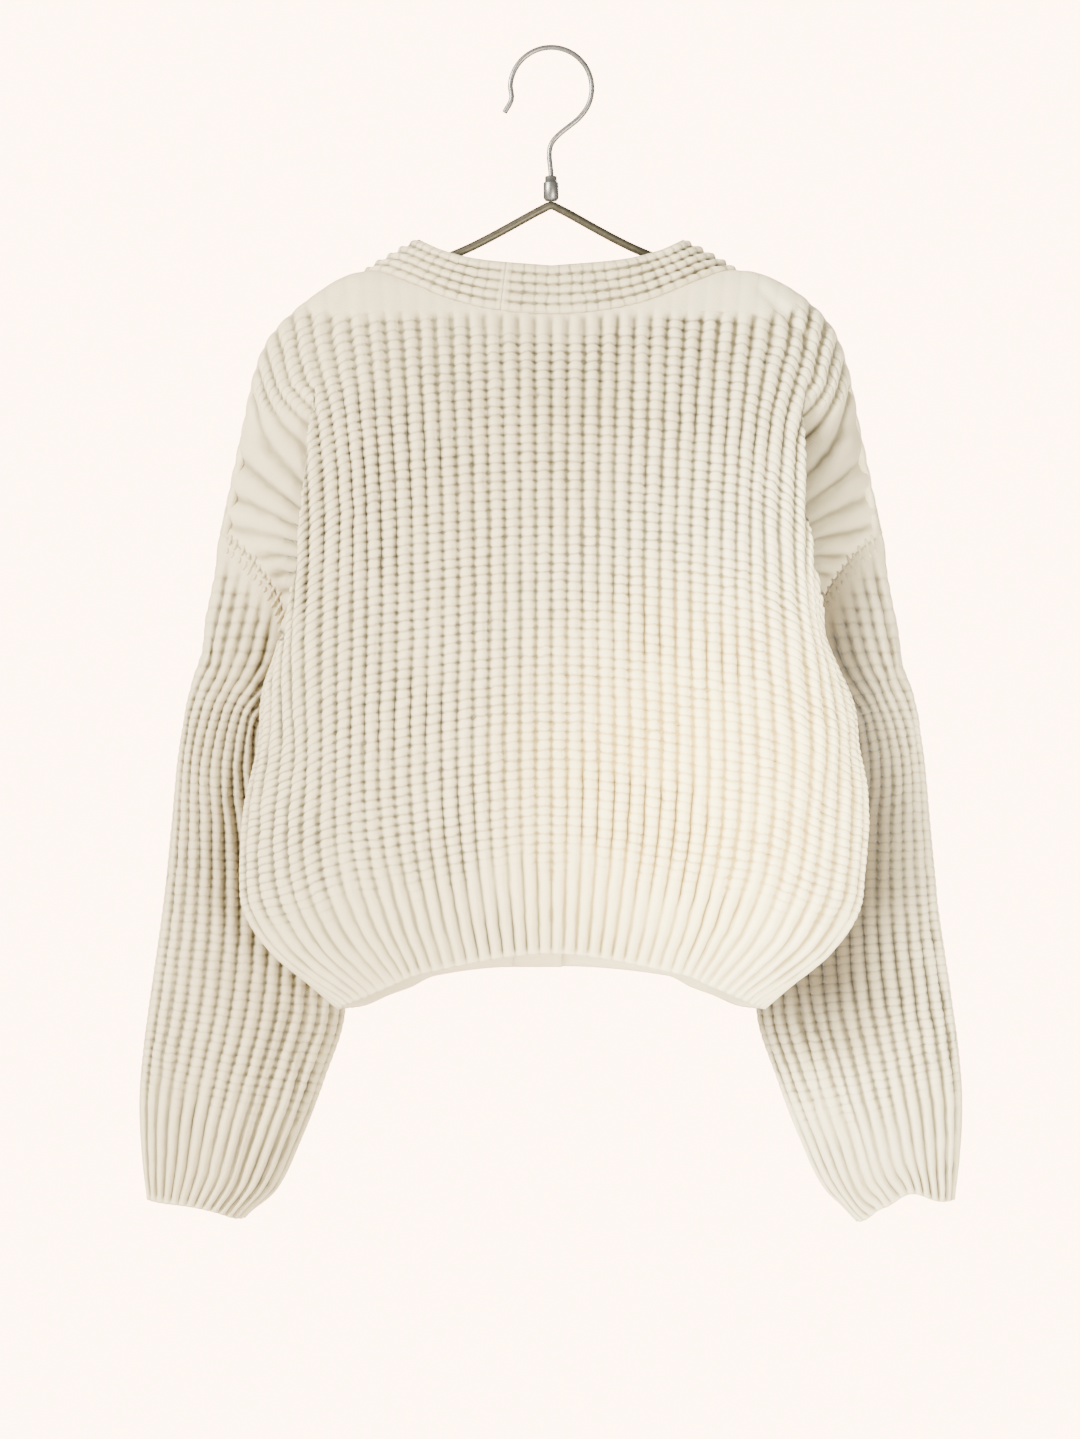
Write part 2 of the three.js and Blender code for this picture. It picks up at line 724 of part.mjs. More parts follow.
// A half of the band: rows of points from its seam to its free edge.
function bandGeometry(side) {
  const places = bandLines(side);
  const last = places.length - 1;
  const columns = bandRidges * 2;
  const rows = places.map(({ point, normal, free }, i) => {
    const before = places[Math.max(i - 1, 0)].point;
    const line = places[Math.min(i + 1, last)].point.clone().sub(before).normalize();
    const square = normal.clone().cross(line).multiplyScalar(side).normalize();
    const edge = free ?? point.clone().addScaledVector(square, band.width);
    const across = edge.clone().sub(point).normalize();
    const facing = line.clone().cross(across).multiplyScalar(side).normalize();
    const end = i === 0 ? line : vec(0, 0, 0);
    return Array.from({ length: columns + 1 }, (_, c) => {
      const off = end.clone().addScaledVector(across, c === 0 ? band.seamShare : 0);
      const here = { point: point.clone().lerp(edge, c / columns), normal: facing, off };
      return wallPoint(here, grooveAt(c), band.setBack);
    });
  });
  return wallGeometry(rows);
}

// A round button with a dished face, lying on the right band's ridges.
function buttonGeometry() {
  const { radius, thickness, dish, rim, sides } = button;
  const profile = [
    [0, 0],
    [radius - rim / 2, 0],
    [radius, thickness / 2],
    [radius - rim / 2, thickness],
    [radius - rim * 1.6, thickness - dish],
    [0, thickness - dish],
  ];
  return new THREE.LatheGeometry(profile.map(([x, y]) => new THREE.Vector2(x, y)), sides);
}

const wireSection = (radius, sides) =>
  new THREE.Shape(
    Array.from({ length: sides }, (_, i) => {
      const a = (2 * Math.PI * i) / sides;
      return new THREE.Vector2(radius * Math.cos(a), radius * Math.sin(a));
    }),
  );

function wireGeometry(points, radius, sides, steps) {
  const path = new THREE.CatmullRomCurve3(points, false, "centripetal");
  const options = { steps, extrudePath: path, bevelEnabled: false };
  return new THREE.ExtrudeGeometry(wireSection(radius, sides), options);
}

// The arms run straight from the apex, then under the shoulder seams to the tips. The plain inside of the
// shoulder is straight from one inside column to the next, and the wire passes just under each middle.
function armsGeometry() {
  const clear = knit.wall + hanger.wire + knit.seamGap;
  const arm = (side) => {
    const under = hanger.underRibs.map((rib) => {
      const a = backSurface[side](rib - hanger.chordReach, 0);
      const b = backSurface[side](rib + hanger.chordReach, 0);
      return a.lerp(b, 0.5).addScaledVector(shoulderFacing(side, rib), -clear);
    });
    const neck = backSurface[side](ribAt.neck, 0);
    neck.addScaledVector(shoulderFacing(side, ribAt.neck), -clear - hanger.neckDrop);
    const tip = backSurface[side](ribAt.tip, 0);
    tip.addScaledVector(shoulderFacing(side, hanger.insideTip), -clear - hanger.tipDrop);
    return [
      vec(side * hanger.apexX, 0, hanger.apexZ - hanger.apexDrop),
      vec(side * hanger.bendX, 0, hanger.bendZ),
      neck,
      ...under,
      tip,
    ];
  };
  const points = [...arm(-1).reverse(), vec(0, 0, hanger.apexZ), ...arm(1)];
  return wireGeometry(points, hanger.wire, hanger.sides, hanger.steps);
}

function hookPoints() {
  const centreZ = hook.wire - hook.radius;
  const points = [vec(hook.flareX, 0, hook.flareZ)];
  const step = -20;
  for (let angle = hook.tipAngle; angle > hook.endAngle; angle += step) {
    const a = degrees(angle);
    points.push(vec(hook.radius * Math.cos(a), 0, centreZ + hook.radius * Math.sin(a)));
  }
  points.push(vec(0, 0, hook.neckZ), vec(0, 0, hook.ferrule.high + hook.seat));
  return points;
}

// The collar that joins the hook to the arms, turned about the vertical.
function ferruleGeometry() {
  const { radius, waist, low, high, sides } = hook.ferrule;
  const profile = [
    [0, low],
    [waist, low],
    [radius, low + 2],
    [radius, high - 5],
    [waist, high - 4],
    [waist, high],
    [0, high],
  ];
  const geometry = new THREE.LatheGeometry(profile.map(([x, y]) => new THREE.Vector2(x, y)), sides);
  return geometry.rotateX(Math.PI / 2);
}

const yarn = new THREE.MeshStandardMaterial({ color: 0xe9dfd0, roughness: 0.95, metalness: 0 });
const horn = new THREE.MeshStandardMaterial({ color: 0xcdbfa8, roughness: 0.45, metalness: 0 });
const steel = new THREE.MeshStandardMaterial({ color: 0x6f6d63, roughness: 0.38, metalness: 0.85 });

const cardigan = new THREE.Group();

function place(name, geometry, material, parent = cardigan) {
  const mesh = new THREE.Mesh(geometry, material);
  mesh.name = name;
  parent.add(mesh);
  return mesh;
}

place("back", backGeometry(), yarn);
for (const [name, side] of [["left", -1], ["right", 1]]) {
  place(`front_${name}`, frontGeometry(side), yarn);
  place(`sleeve_${name}`, sleeveGeometry(side), yarn);
  place(`band_${name}`, bandGeometry(side), yarn);
}

// The furthest forward that a mesh comes behind a round button at x, z.
function frontUnder(mesh, x, z) {
  const { radius, probes } = button;
  let front = -Infinity;
  for (let i = -probes; i <= probes; i++) {
    for (let j = -probes; j <= probes; j++) {
      if (Math.hypot(i, j) > probes) continue;
      const from = vec(x + (i * radius) / probes, button.probeY, z + (j * radius) / probes);
      const hit = new THREE.Raycaster(from, vec(0, -1, 0)).intersectObject(mesh)[0];
      if (hit) front = Math.max(front, hit.point.y);
    }
  }
  return front;
}

// Buttons lie on the middle of the right band, just clear of its ridges.
cardigan.updateMatrixWorld(true);
const rightBand = cardigan.getObjectByName("band_right");
for (let i = 0; i < button.count; i++) {
  const x = band.seamRight - band.width / 2;
  const z = button.firstZ + ((button.lastZ - button.firstZ) * i) / (button.count - 1);
  const mesh = place(`button_${i + 1}`, buttonGeometry(), horn);
  mesh.position.set(x, frontUnder(rightBand, x, z) + knit.seamGap, z);
}

place("hanger_arms", armsGeometry(), steel);
place("hanger_hook", wireGeometry(hookPoints(), hook.wire, hanger.sides, hook.steps), steel);
place("hanger_ferrule", ferruleGeometry(), steel);

export default cardigan;
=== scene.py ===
import math

import bmesh
import bpy
import numpy as np
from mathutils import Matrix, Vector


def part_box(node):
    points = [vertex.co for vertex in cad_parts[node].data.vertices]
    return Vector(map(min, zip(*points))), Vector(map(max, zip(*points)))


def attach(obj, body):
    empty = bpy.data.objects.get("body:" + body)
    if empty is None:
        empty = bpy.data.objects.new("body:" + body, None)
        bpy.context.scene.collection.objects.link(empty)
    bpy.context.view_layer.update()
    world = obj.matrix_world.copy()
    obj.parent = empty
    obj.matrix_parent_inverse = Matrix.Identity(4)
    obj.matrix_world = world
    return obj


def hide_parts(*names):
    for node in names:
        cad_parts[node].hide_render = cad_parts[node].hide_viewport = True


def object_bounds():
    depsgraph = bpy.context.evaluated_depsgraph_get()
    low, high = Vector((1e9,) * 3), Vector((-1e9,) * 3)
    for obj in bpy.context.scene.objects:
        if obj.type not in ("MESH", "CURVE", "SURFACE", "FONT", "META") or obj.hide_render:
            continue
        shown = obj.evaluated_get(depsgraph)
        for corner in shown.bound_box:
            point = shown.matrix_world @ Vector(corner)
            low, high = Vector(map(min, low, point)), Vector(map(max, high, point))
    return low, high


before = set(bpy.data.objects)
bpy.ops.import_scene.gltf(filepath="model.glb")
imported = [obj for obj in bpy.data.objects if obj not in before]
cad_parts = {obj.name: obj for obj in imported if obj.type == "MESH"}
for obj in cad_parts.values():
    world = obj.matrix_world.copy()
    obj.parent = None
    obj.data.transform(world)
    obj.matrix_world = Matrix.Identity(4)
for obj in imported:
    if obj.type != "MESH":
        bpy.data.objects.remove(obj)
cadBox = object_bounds()
mm = 0.001

# A chunky ribbed cardigan, buttoned up, on a slim wire hanger. The wearer's front faces +Y, the wearer's
# left is at -X. Tables are in millimetres; a rib is counted in from the side seam.

# the body's lines
sides = {"Left": -1, "Right": 1}  # a table with one value for each side is keyed by these numbers
ribAt = {"tip": 8, "neck": 14, "centre": 25}
bodyShares = [0, 0.02, 0.06, 0.12, 0.2, 0.27, 0.34, 0.4]
armholeSteps = [1, 3, 4, 6, 6, 5, 5]  # half ribs of the sleeve along each stretch of the armhole
neckScoop = {"down": 0.0865, "power": 2.2}
neckPoint = {"down": 0.37, "power": 0.92}
band = {"width": 36, "rib": {-1: 22, 1: 24}, "seam": {-1: 28, 1: 8}, "joinRib": 22, "ridges": 5,
        "stitch": 8.7, "wall": 3.8, "fine": 0.25, "edgePlaces": 60, "easeTurns": 6, "easeOver": 9}
underlap = {"depth": 8, "reach": 90}
sideSwing = {"width": 6, "z": -500, "height": 60, "fromX": 120, "overX": 80, "down": 0.2}
leftShoulder = {"drop": 7, "x": 120, "overX": 60, "z": -185, "height": 50}

# (down, x, y, z) down a guide line, from the shoulder to the hem
sideSeam = [
    (0.4, 188, 3, -463), (0.5, 187, 3, -498), (0.6, 196, -1, -532), (0.7, 206, -4, -567),
    (0.82, 211, -6, -608), (0.92, 192, -7, -654), (1, 154, -9, -690),
]
backGuides = {
    0: [(0, 239, 0, -348), (0.05, 227, -5, -356), (0.1, 216, -9, -366), (0.2, 196, -12, -394),
        (0.27, 190, -10, -422), (0.34, 188, -5, -445)] + sideSeam,
    4: [(0, 225, 0, -280), (0.02, 221.5, -6, -285), (0.05, 218, -11, -294), (0.1, 211, -17, -312),
        (0.2, 197, -24, -355), (0.35, 193, -25, -424), (0.5, 208, -21, -482), (0.7, 224, -22, -555),
        (0.82, 223, -24, -606), (0.92, 200, -26, -648), (1, 148, -30, -687)],
    8: [(0, 208, 0, -208), (0.02, 206.5, -8, -212), (0.05, 203, -15, -225), (0.1, 196, -23, -250),
        (0.2, 182, -34, -298), (0.35, 181, -41, -368), (0.5, 188, -43, -440), (0.7, 191, -47, -537),
        (0.82, 187, -48, -594), (0.92, 166, -46, -642), (1, 129, -42, -678)],
    10.8: [(0, 179, 0, -175), (0.02, 178, -9, -178), (0.05, 176, -17, -191), (0.1, 171, -26, -219),
           (0.2, 159, -38, -268), (0.35, 153, -46, -342), (0.5, 155, -51, -417), (0.7, 158, -56, -520),
           (0.82, 155, -57, -580), (0.92, 138, -54, -631), (1, 111, -48, -670)],
    14: [(0, 137, 0, -158), (0.02, 136, -9, -161), (0.05, 134, -18, -174), (0.1, 131, -28, -204),
         (0.2, 126, -41, -256), (0.35, 121, -51, -332), (0.5, 120, -57, -408), (0.7, 122, -63, -512),
         (0.82, 118, -64, -574), (0.92, 106, -60, -625), (1, 92, -53, -662)],
    25: [(0, 0, -20, -150), (0.05, 0, -27, -175), (0.1, 0, -36, -200), (0.2, 0, -49, -249),
         (0.35, 0, -58, -324), (0.5, 0, -63, -398), (0.7, 0, -69, -498), (0.82, 0, -70, -558),
         (0.92, 0, -66, -607), (1, 0, -58, -647)],
}
frontGuides = {
    0: [(0, 239, 0, -348), (0.05, 233, 13, -358), (0.1, 228, 23, -371), (0.2, 215, 36, -400),
        (0.27, 206, 30, -430), (0.34, 197, 17, -452)] + sideSeam,
    4: [(0, 225, 0, -280), (0.02, 221.8, 6, -285), (0.05, 219, 11, -294), (0.1, 213, 18, -313),
        (0.2, 200, 29, -352), (0.3, 184, 33, -398), (0.4, 172, 26, -437), (0.5, 167, 20, -480),
        (0.6, 170, 17, -522), (0.7, 176, 15, -562), (0.85, 175, 13, -625), (1, 136, 6, -689)],
    8: [(0, 208, 0, -208), (0.02, 206, 7, -212), (0.05, 202, 13, -224), (0.1, 194, 20, -250),
        (0.2, 177, 29, -300), (0.35, 155, 35, -376), (0.5, 141, 32, -450), (0.7, 144, 30, -548),
        (0.85, 141, 28, -618), (1, 117, 21, -682)],
    10.8: [(0, 179, 0, -175), (0.02, 177.5, 8, -178), (0.05, 174, 15, -190), (0.1, 167, 22, -218),
           (0.2, 149, 31, -270), (0.35, 134, 38, -348), (0.5, 123, 38, -428), (0.7, 124, 38, -530),
           (0.85, 121, 37, -606), (1, 102, 29, -677)],
    14: [(0, 137, 0, -158), (0.02, 135.5, 9, -161), (0.05, 132.5, 17, -174), (0.1, 126, 25, -204),
         (0.2, 116, 33, -258), (0.35, 107, 40, -338), (0.5, 101, 42, -416), (0.7, 100, 43, -519),
         (0.85, 98, 42, -596), (1, 84, 36, -669)],
}
# (down, y, z) along the seam of the front band
bandSeam = [(0, 14, -158), (0.1, 24, -209), (0.2, 32, -260), (0.35, 41, -337), (0.5, 47, -413),
            (0.7, 51, -515), (0.85, 52, -592), (1, 46, -663)]

# the band's free edge round the right of the neck, over ribs of the back and over shares of the V-neck
neckEdgeBack = [(14, 96, 1, -134.5), (15.5, 90, -11, -139.5), (17, 78, -16, -145.5), (20, 52, -21, -152.5),
                (25, 0, -24, -157.5)]
neckEdgeFront = [(0, 96, 1, -134.5), (0.05, 94.5, 11, -140.5), (0.1, 88.5, 16, -151), (0.15, 81.5, 18, -163),
                 (0.2, 73.5, 18.5, -175.8)]

# the right sleeve's rings: z, x, half width, y, half depth, turn, lean, share of the way to the underarm
sleeveRings = [
    (-467, 230, 34.5, 16, 34, 6, 24, 0.45), (-514, 225, 48, 33, 33, 10, 12, 0.47),
    (-562, 219, 60, 47, 32, 15, 4, 0.48), (-615, 217, 68.5, 55, 31, 15, 3, 0.49),
    (-688, 222.5, 73, 56, 30, 14, 6, 0.5), (-738, 233.5, 68.5, 56, 28, 13, 10, 0.5),
    (-780, 243.5, 61.5, 55, 25, 12, 14, 0.5), (-815, 251, 52, 54, 22, 11, 15, 0.5),
    (-841, 261, 37, 53, 19, 10, 11, 0.5),
]
sleeveRibs = 30
sleeveTop = {"pitch": 10.5, "z": -430, "height": 120}


def smooth(t):
    t = np.clip(t, 0, 1)
    return t * t * (3 - 2 * t)


def bell(v, width):
    return np.exp(-((v / width) ** 2))


def lengthOf(v):
    return np.sqrt((v * v).sum(-1, keepdims=True))


def unit(v):
    return v / np.maximum(lengthOf(v), 1e-9)


def xyz(points):
    return np.moveaxis(points, -1, 0)


# How far along a line each of its points lies.
def runOf(line):
    return np.concatenate([[0], np.cumsum(lengthOf(np.diff(line, axis=0))[:, 0])])


# A smooth curve through points at unevenly spaced stations that never swings past them.
def along(stations, points, at):
    s, p = np.asarray(stations, float), np.asarray(points, float)
    shape = (-1, *[1] * (p.ndim - 1))
    gap = np.diff(s).reshape(shape)
    rise = np.diff(p, axis=0) / gap
    across = (p[2:] - p[:-2]) / (gap[1:] + gap[:-1])
    steepest = 3 * np.minimum(np.abs(rise[:-1]), np.abs(rise[1:]))
    limited = np.sign(across) * np.minimum(np.abs(across), steepest)
    slope = np.concatenate([rise[:1], np.where(rise[:-1] * rise[1:] <= 0, 0, limited), rise[-1:]])
    at = np.atleast_1d(np.asarray(at, float))
    i = np.clip(np.searchsorted(s, at) - 1, 0, len(s) - 2)
    span = (s[i + 1] - s[i]).reshape(shape)
    t = ((at - s[i]) / (s[i + 1] - s[i])).reshape(shape)
    return (p[i] * (1 + 2 * t) * (1 - t) ** 2 + p[i + 1] * t * t * (3 - 2 * t)
            + slope[i] * span * t * (1 - t) ** 2 - slope[i + 1] * span * t * t * (1 - t))


# A panel's surface on one side of the body: one rib and many places down give points on the crests.
def panelSurface(guides, side, tucked=False):
    tables = [np.array(guide, float) for guide in guides.values()]
    ribs = list(guides)
    stations = ribs + [2 * ribs[-1] - ribs[-2]]

    def at(rib, down):
        down = np.clip(np.atleast_1d(down), 0, 1)
        points = [along(t[:, 0], t[:, 1:], down) for t in tables]
        mirrored = points[-2].copy()
        mirrored[:, 0] = 2 * points[-1][:, 0] - mirrored[:, 0]
        p = along(stations, points + [mirrored], rib)[0]
        swing = sideSwing["width"] * bell(p[:, 2] - sideSwing["z"], sideSwing["height"])
        swing = swing * smooth((p[:, 0] - sideSwing["fromX"]) / sideSwing["overX"])
        p[:, 0] += side * swing * smooth((down - sideSwing["down"]) / sideSwing["down"])
        if side < 0:
            near = leftShoulder["drop"] * bell(p[:, 2] - leftShoulder["z"], leftShoulder["height"])
            p[:, 2] -= near * smooth((p[:, 0] - leftShoulder["x"]) / leftShoulder["overX"])
        if tucked:
            reach = (np.abs(p[:, 0]) - band["seam"][side]) / underlap["reach"]
            p[:, 1] -= underlap["depth"] * smooth(1 - reach)
        p[:, 0] *= side
        return p

    return at


backSurface, frontSurface = {}, {}
for side in sides.values():
    seam = [(down, band["seam"][side], y, z) for down, y, z in bandSeam]
    backSurface[side] = panelSurface(backGuides, side)
    frontSurface[side] = panelSurface({**frontGuides, band["rib"][side]: seam}, side, tucked=side < 0)


# How far down a panel its top edge lies, at the neck and in the V.
def backTop(rib):
    if rib <= ribAt["neck"]:
        return 0
    fromCentre = (ribAt["centre"] - rib) / (ribAt["centre"] - ribAt["neck"])
    return neckScoop["down"] * (1 - fromCentre ** neckScoop["power"])


def frontTop(rib, bandRib):
    if rib <= ribAt["neck"]:
        return 0
    return neckPoint["down"] * ((rib - ribAt["neck"]) / (bandRib - ribAt["neck"])) ** neckPoint["power"]


# Creases: x and z of both ends, width, depth (a negative one stands out).
creases = {
    "back": [
        (-150, -560, -205, -470, 14, 2.0), (160, -590, 222, -500, 13, 2.6), (185, -640, 224, -560, 10, -2.2),
        (-110, -640, -170, -560, 16, 1.6), (30, -640, 60, -500, 22, -1.6), (-60, -650, -30, -560, 18, 1.4),
        (95, -260, 150, -215, 16, 1.8), (-95, -265, -150, -225, 15, 1.8), (-30, -215, -10, -330, 20, -1.4),
        (150, -174, 184, -210, 4, 2.2), (166, -186, 192, -224, 3.5, 2.0), (-141, -174, -162, -204, 4, 1.7),
        (-170, -190, -196, -222, 4, 1.7),
    ],
    "front": [
        (-150, -395, -185, -300, 12, 2.6), (152, -400, 188, -300, 12, 2.6), (-90, -520, -165, -470, 15, 2.0),
        (84, -540, 160, -490, 14, 2.2), (-60, -640, -130, -580, 15, -1.8), (62, -645, 128, -575, 16, -1.6),
        (45, -440, 70, -330, 14, 1.6), (-48, -430, -72, -320, 14, 1.6),
    ],
    "sleeve": [
        (-262, -420, -205, -500, 9, 3.0), (264, -430, 214, -505, 9, 3.2), (-228, -500, -214, -640, 10, 2.6),
        (236, -520, 228, -650, 9, 3.0), (-190, -700, -232, -835, 7, 3.6), (186, -690, 236, -835, 7, 4.4),
        (205, -700, 246, -838, 6, -2.4), (178, -680, 193, -764, 3, 4.5), (-176, -690, -186, -750, 3.5, 3.0),
        (-268, -640, -262, -760, 13, 1.6), (276, -620, 268, -760, 13, 1.8),
    ],
}


# Pushes one face's creases into its points; a crease is deepest in its middle and runs out past its ends.
def creased(points, facing, face):
    x, y, z = xyz(points)
    depth = x * 0
    for x0, z0, x1, z1, width, amount in creases[face]:
        lineX, lineZ = x1 - x0, z1 - z0
        t = ((x - x0) * lineX + (z - z0) * lineZ) / (lineX ** 2 + lineZ ** 2)
        c = np.clip(t, 0, 1)
        gap = np.hypot(x - x0 - c * lineX, z - z0 - c * lineZ)
        ends = bell(np.maximum(np.abs(t - 0.5) - 0.5, 0), 1 / 3) * (0.55 + 0.45 * np.sin(np.pi * c))
        depth += amount * bell(gap, width) * ends
    return points - facing * depth[..., None]


# The body hangs over the sleeve in a fold below the shoulder: x and z down its line, on the left and right.
foldLine = {
    -1: [(-166, -245), (-174, -285), (-177, -330), (-183, -385), (-190, -425)],
    1: [(180, -240), (180, -290), (182, -340), (188, -380), (198, -420)],
}
fold = {"drop": 10.0, "reach": 15, "start": 2.5, "lip": 2.6, "lipWidth": 8, "centreX": 136, "centreZ": -373,
        "ribTurn": 0.2, "ribShift": 1.5, "folds": 1.9, "foldsFrom": 6, "turnZ": -235, "turnOver": 60,
        "fromX": 100, "seam": 1.6, "fadeLow": 35, "fadeHigh": 40}


# How far outside the fold a point is, and how strongly the fold shows at its height.
def besideFold(side, points):
    lineX, lineZ = np.array(foldLine[side], float).T
    x, y, z = xyz(points)
    ends = smooth((z - lineZ[-1]) / fold["fadeLow"]) * smooth((lineZ[0] - z) / fold["fadeHigh"])
    return side * (x - np.interp(-z, -lineZ, lineX)), ends * (side * x > fold["fromX"])


# Outside the fold the back drops to the sleeve, and its ribs turn round a place under the arm.
def foldedBack(points, facing, ribs):
    for side in (1, -1):
        x, y, z = xyz(points)
        outside, ends = besideFold(side, points)
        ends = ends * smooth(ribs / fold["seam"])
        drop = fold["drop"] * np.exp(-outside / fold["reach"]) * smooth(outside / fold["start"])
        step = np.where(outside > 0, drop, -fold["lip"] * bell(outside, fold["lipWidth"]))
        turned = np.arctan2(z - fold["centreZ"], np.maximum(side * x - fold["centreX"], 5))
        turned = turned / fold["ribTurn"] + fold["ribShift"]
        small = fold["folds"] * np.abs(np.cos(np.pi * turned)) ** 3
        step = step + small * smooth(outside / fold["foldsFrom"]) * (outside > 0)
        points = points - facing * (step * ends)[..., None]
        x, y, z = xyz(points)
        turning = smooth((fold["turnZ"] - z) / fold["turnOver"]) * (outside > 1.5) * (ends > 0)
        turning = np.where(side * x > fold["fromX"], turning, 0)
        ribs = ribs * (1 - turning) + turned * turning
    return points, ribs


# Painted shadow on yarn tucked in beside the body, where the body's shade falls: the body's edge as (z, x),
# and how much on each side.
paintedShadeBeside = {"edge": [(-280, 190), (-330, 186), (-424, 196), (-482, 208), (-555, 228), (-606, 226), (-648, 206),
                  (-700, 190)],
         "width": 54, -1: 0.25, 1: 0.95, "low": -760, "lowOver": 90, "drape": 50, "drapeRight": 0.9,
         "front": 0.5, "frontRibs": 1.3}


# How much painted shadow yarn gets beside the body: most at the body's edge and on faces turned to -y, fading
# out low down.
def paintedShadeAt(side, points, facing):
    edgeZ, edgeX = np.array(paintedShadeBeside["edge"], float).T
    x, y, z = xyz(points)
    gap = side * x - np.interp(-z, -edgeZ, edgeX)
    amount = bell(np.maximum(gap, 0), paintedShadeBeside["width"]) * smooth(0.6 - 2 * facing[..., 1])
    return amount * smooth((z - paintedShadeBeside["low"]) / paintedShadeBeside["lowOver"]) * paintedShadeBeside[side]


# Low on its sides the back swells out over the sleeve: at which height and ribs, and how far on each side.
swell = {"z": -462, "spread": 36, "left": 9, "right": 7, "rib": 3.6, "ribSpread": 2.6, "seam": 1.5}


def swollen(points, ribs):
    x, y, z = xyz(points)
    near = bell(z - swell["z"], swell["spread"]) * bell(ribs - swell["rib"], swell["ribSpread"])
    near = near * smooth(ribs / swell["seam"])
    return np.stack([x + np.where(x < 0, -swell["left"], swell["right"]) * near, y, z], -1)


# One object in the scene from its data.
def placed(name, data):
    piece = bpy.data.objects.new(name, data)
    bpy.context.scene.collection.objects.link(piece)
    return piece


def meshOf(name, points, edges=(), faces=()):
    mesh = bpy.data.meshes.new(name)
    mesh.from_pydata(np.array(points, float) * mm, edges, faces)
    return mesh


def addAttribute(mesh, label, values):
    values = np.array(values, float)
    kind, field = ("FLOAT", "value") if values.ndim == 1 else ("FLOAT_VECTOR", "vector")
    mesh.attributes.new(label, kind, "POINT").data.foreach_set(field, values.reshape(-1))


# The knitting: columns to a rib, steps to a row, rows, walls, how far the inside of a rim stays off its seam.
knit = {"columns": 6, "steps": 4, "bodyRows": 76, "sleeveRows": 68, "wall": 5.6, "backWall": 6.6,
        "rimSet": 0.8}


# Triangles between a fine rim line and the coarse one inside it.
def stitchRim(fine, coarse, flip):
    ratio = (len(fine) - 1) // (len(coarse) - 1)
    faces = []
    for i in range(len(coarse) - 1):
        a, b = coarse[i], coarse[i + 1]
        middle = i * ratio + ratio // 2
        faces += [(fine[c], fine[c + 1], a) for c in range(i * ratio, middle)]
        faces.append((fine[middle], b, a))
        faces += [(fine[c], fine[c + 1], b) for c in range(middle, (i + 1) * ratio)]
    return [f[::-1] for f in faces] if flip else faces


def gridFaces(ids, flip):
    corners = [ids[:-1, :-1], ids[:-1, 1:], ids[1:, 1:], ids[1:, :-1]]
    return np.stack(corners[::-1] if flip else corners, -1).reshape(-1, 4).tolist()


# A knitted piece from points and facings, with each point's rib and row. Its inside is plain and coarser.
def knitted(name, sizes, points, facing, inward, rib, row, weights, tuck=0, wraps=False, turned=False,
            wall=knit["wall"]):
    coarse = (slice(None, None, knit["steps"]), slice(None, None, knit["columns"]))
    kept = (slice(None), slice(0, -1 if wraps else None))  # a sleeve's last column is its first one again
    outer = points[kept]
    inner = (points - facing * wall + inward * knit["rimSet"])[coarse][kept]

    def numbered(layer, start):
        ids = start + np.arange(layer.shape[0] * layer.shape[1]).reshape(layer.shape[:2])
        return np.concatenate([ids, ids[:, :1]], 1) if wraps else ids

    def both(outside, inside):
        return np.concatenate([v.reshape(-1, *v.shape[2:]) for v in (outside, inside)])

    outerIds, innerIds = numbered(outer, 0), numbered(inner, outer.shape[0] * outer.shape[1])
    faces = gridFaces(outerIds, turned) + gridFaces(innerIds, not turned)
    for at, flip in ((0, not turned), (-1, turned)):
        faces += stitchRim(outerIds[at], innerIds[at], flip)
    for at, flip in () if wraps else ((0, turned), (-1, not turned)):
        faces += stitchRim(outerIds[:, at], innerIds[:, at], flip)
    mesh = meshOf(name, both(outer, inner), (), faces)
    for label, values, insideToo in (("rib", rib, 1), ("row", row, 1), ("ribs", weights[0], 0),
                                     ("rows", weights[1], 0), ("tuck", rib * 0 + tuck, 1),
                                     ("facing", facing, 1)):
        addAttribute(mesh, label, both(values[kept], values[coarse][kept] * insideToo))
    tidy = bmesh.new()
    tidy.from_mesh(mesh)
    bmesh.ops.remove_doubles(tidy, verts=tidy.verts, dist=2e-6)
    bmesh.ops.dissolve_degenerate(tidy, edges=tidy.edges, dist=1e-6)
    tidy.to_mesh(mesh)
    tidy.free()
    return grown(placed(name, mesh), relief, **sizes, yarn=yarn)


def sign(operation):
    return lambda a, b: calc(operation, a, b)


# A value inside a node tree, so that sums with it are written as sums.
class Amount:
    def __init__(self, socket):
        self.socket, self.tree = socket, socket.id_data

    def __rsub__(self, other):
        return calc("SUBTRACT", other, self)

    __add__, __sub__, __mul__ = sign("ADD"), sign("SUBTRACT"), sign("MULTIPLY")
    __truediv__, __pow__ = sign("DIVIDE"), sign("POWER")


def feed(socket, value):
    if isinstance(value, Amount):
        value.tree.links.new(value.socket, socket)
    else:
        socket.default_value = value


# A new node with its settings and its inputs, by label or by number.
def addNode(tree, kind, inputs, **settings):
    node = tree.nodes.new(kind)
    for label, value in settings.items():
        setattr(node, label, value)
    for label, value in inputs.items():
        feed(node.inputs[label], value)
    return node


def made(tree, kind, inputs, output=0, **settings):
    return Amount(addNode(tree, kind, inputs, **settings).outputs[output])


def calc(operation, *values):
    tree = next(v.tree for v in values if isinstance(v, Amount))
    return made(tree, "ShaderNodeMath", dict(enumerate(values)), operation=operation)


# The same value, kept between 0 and 1.
def clamped(amount):
    amount.socket.node.use_clamp = True
    return amount


def wave(phase):
    return calc("ABSOLUTE", calc("COSINE", phase * math.pi))


def noise(where, dimensions="3D", **inputs):
    inputs["Vector"] = where
    return made(where.tree, "ShaderNodeTexNoise", inputs, "Fac", noise_dimensions=dimensions)


def asWords(label):
    return "".join(" " + c if c.isupper() else c for c in label).title()


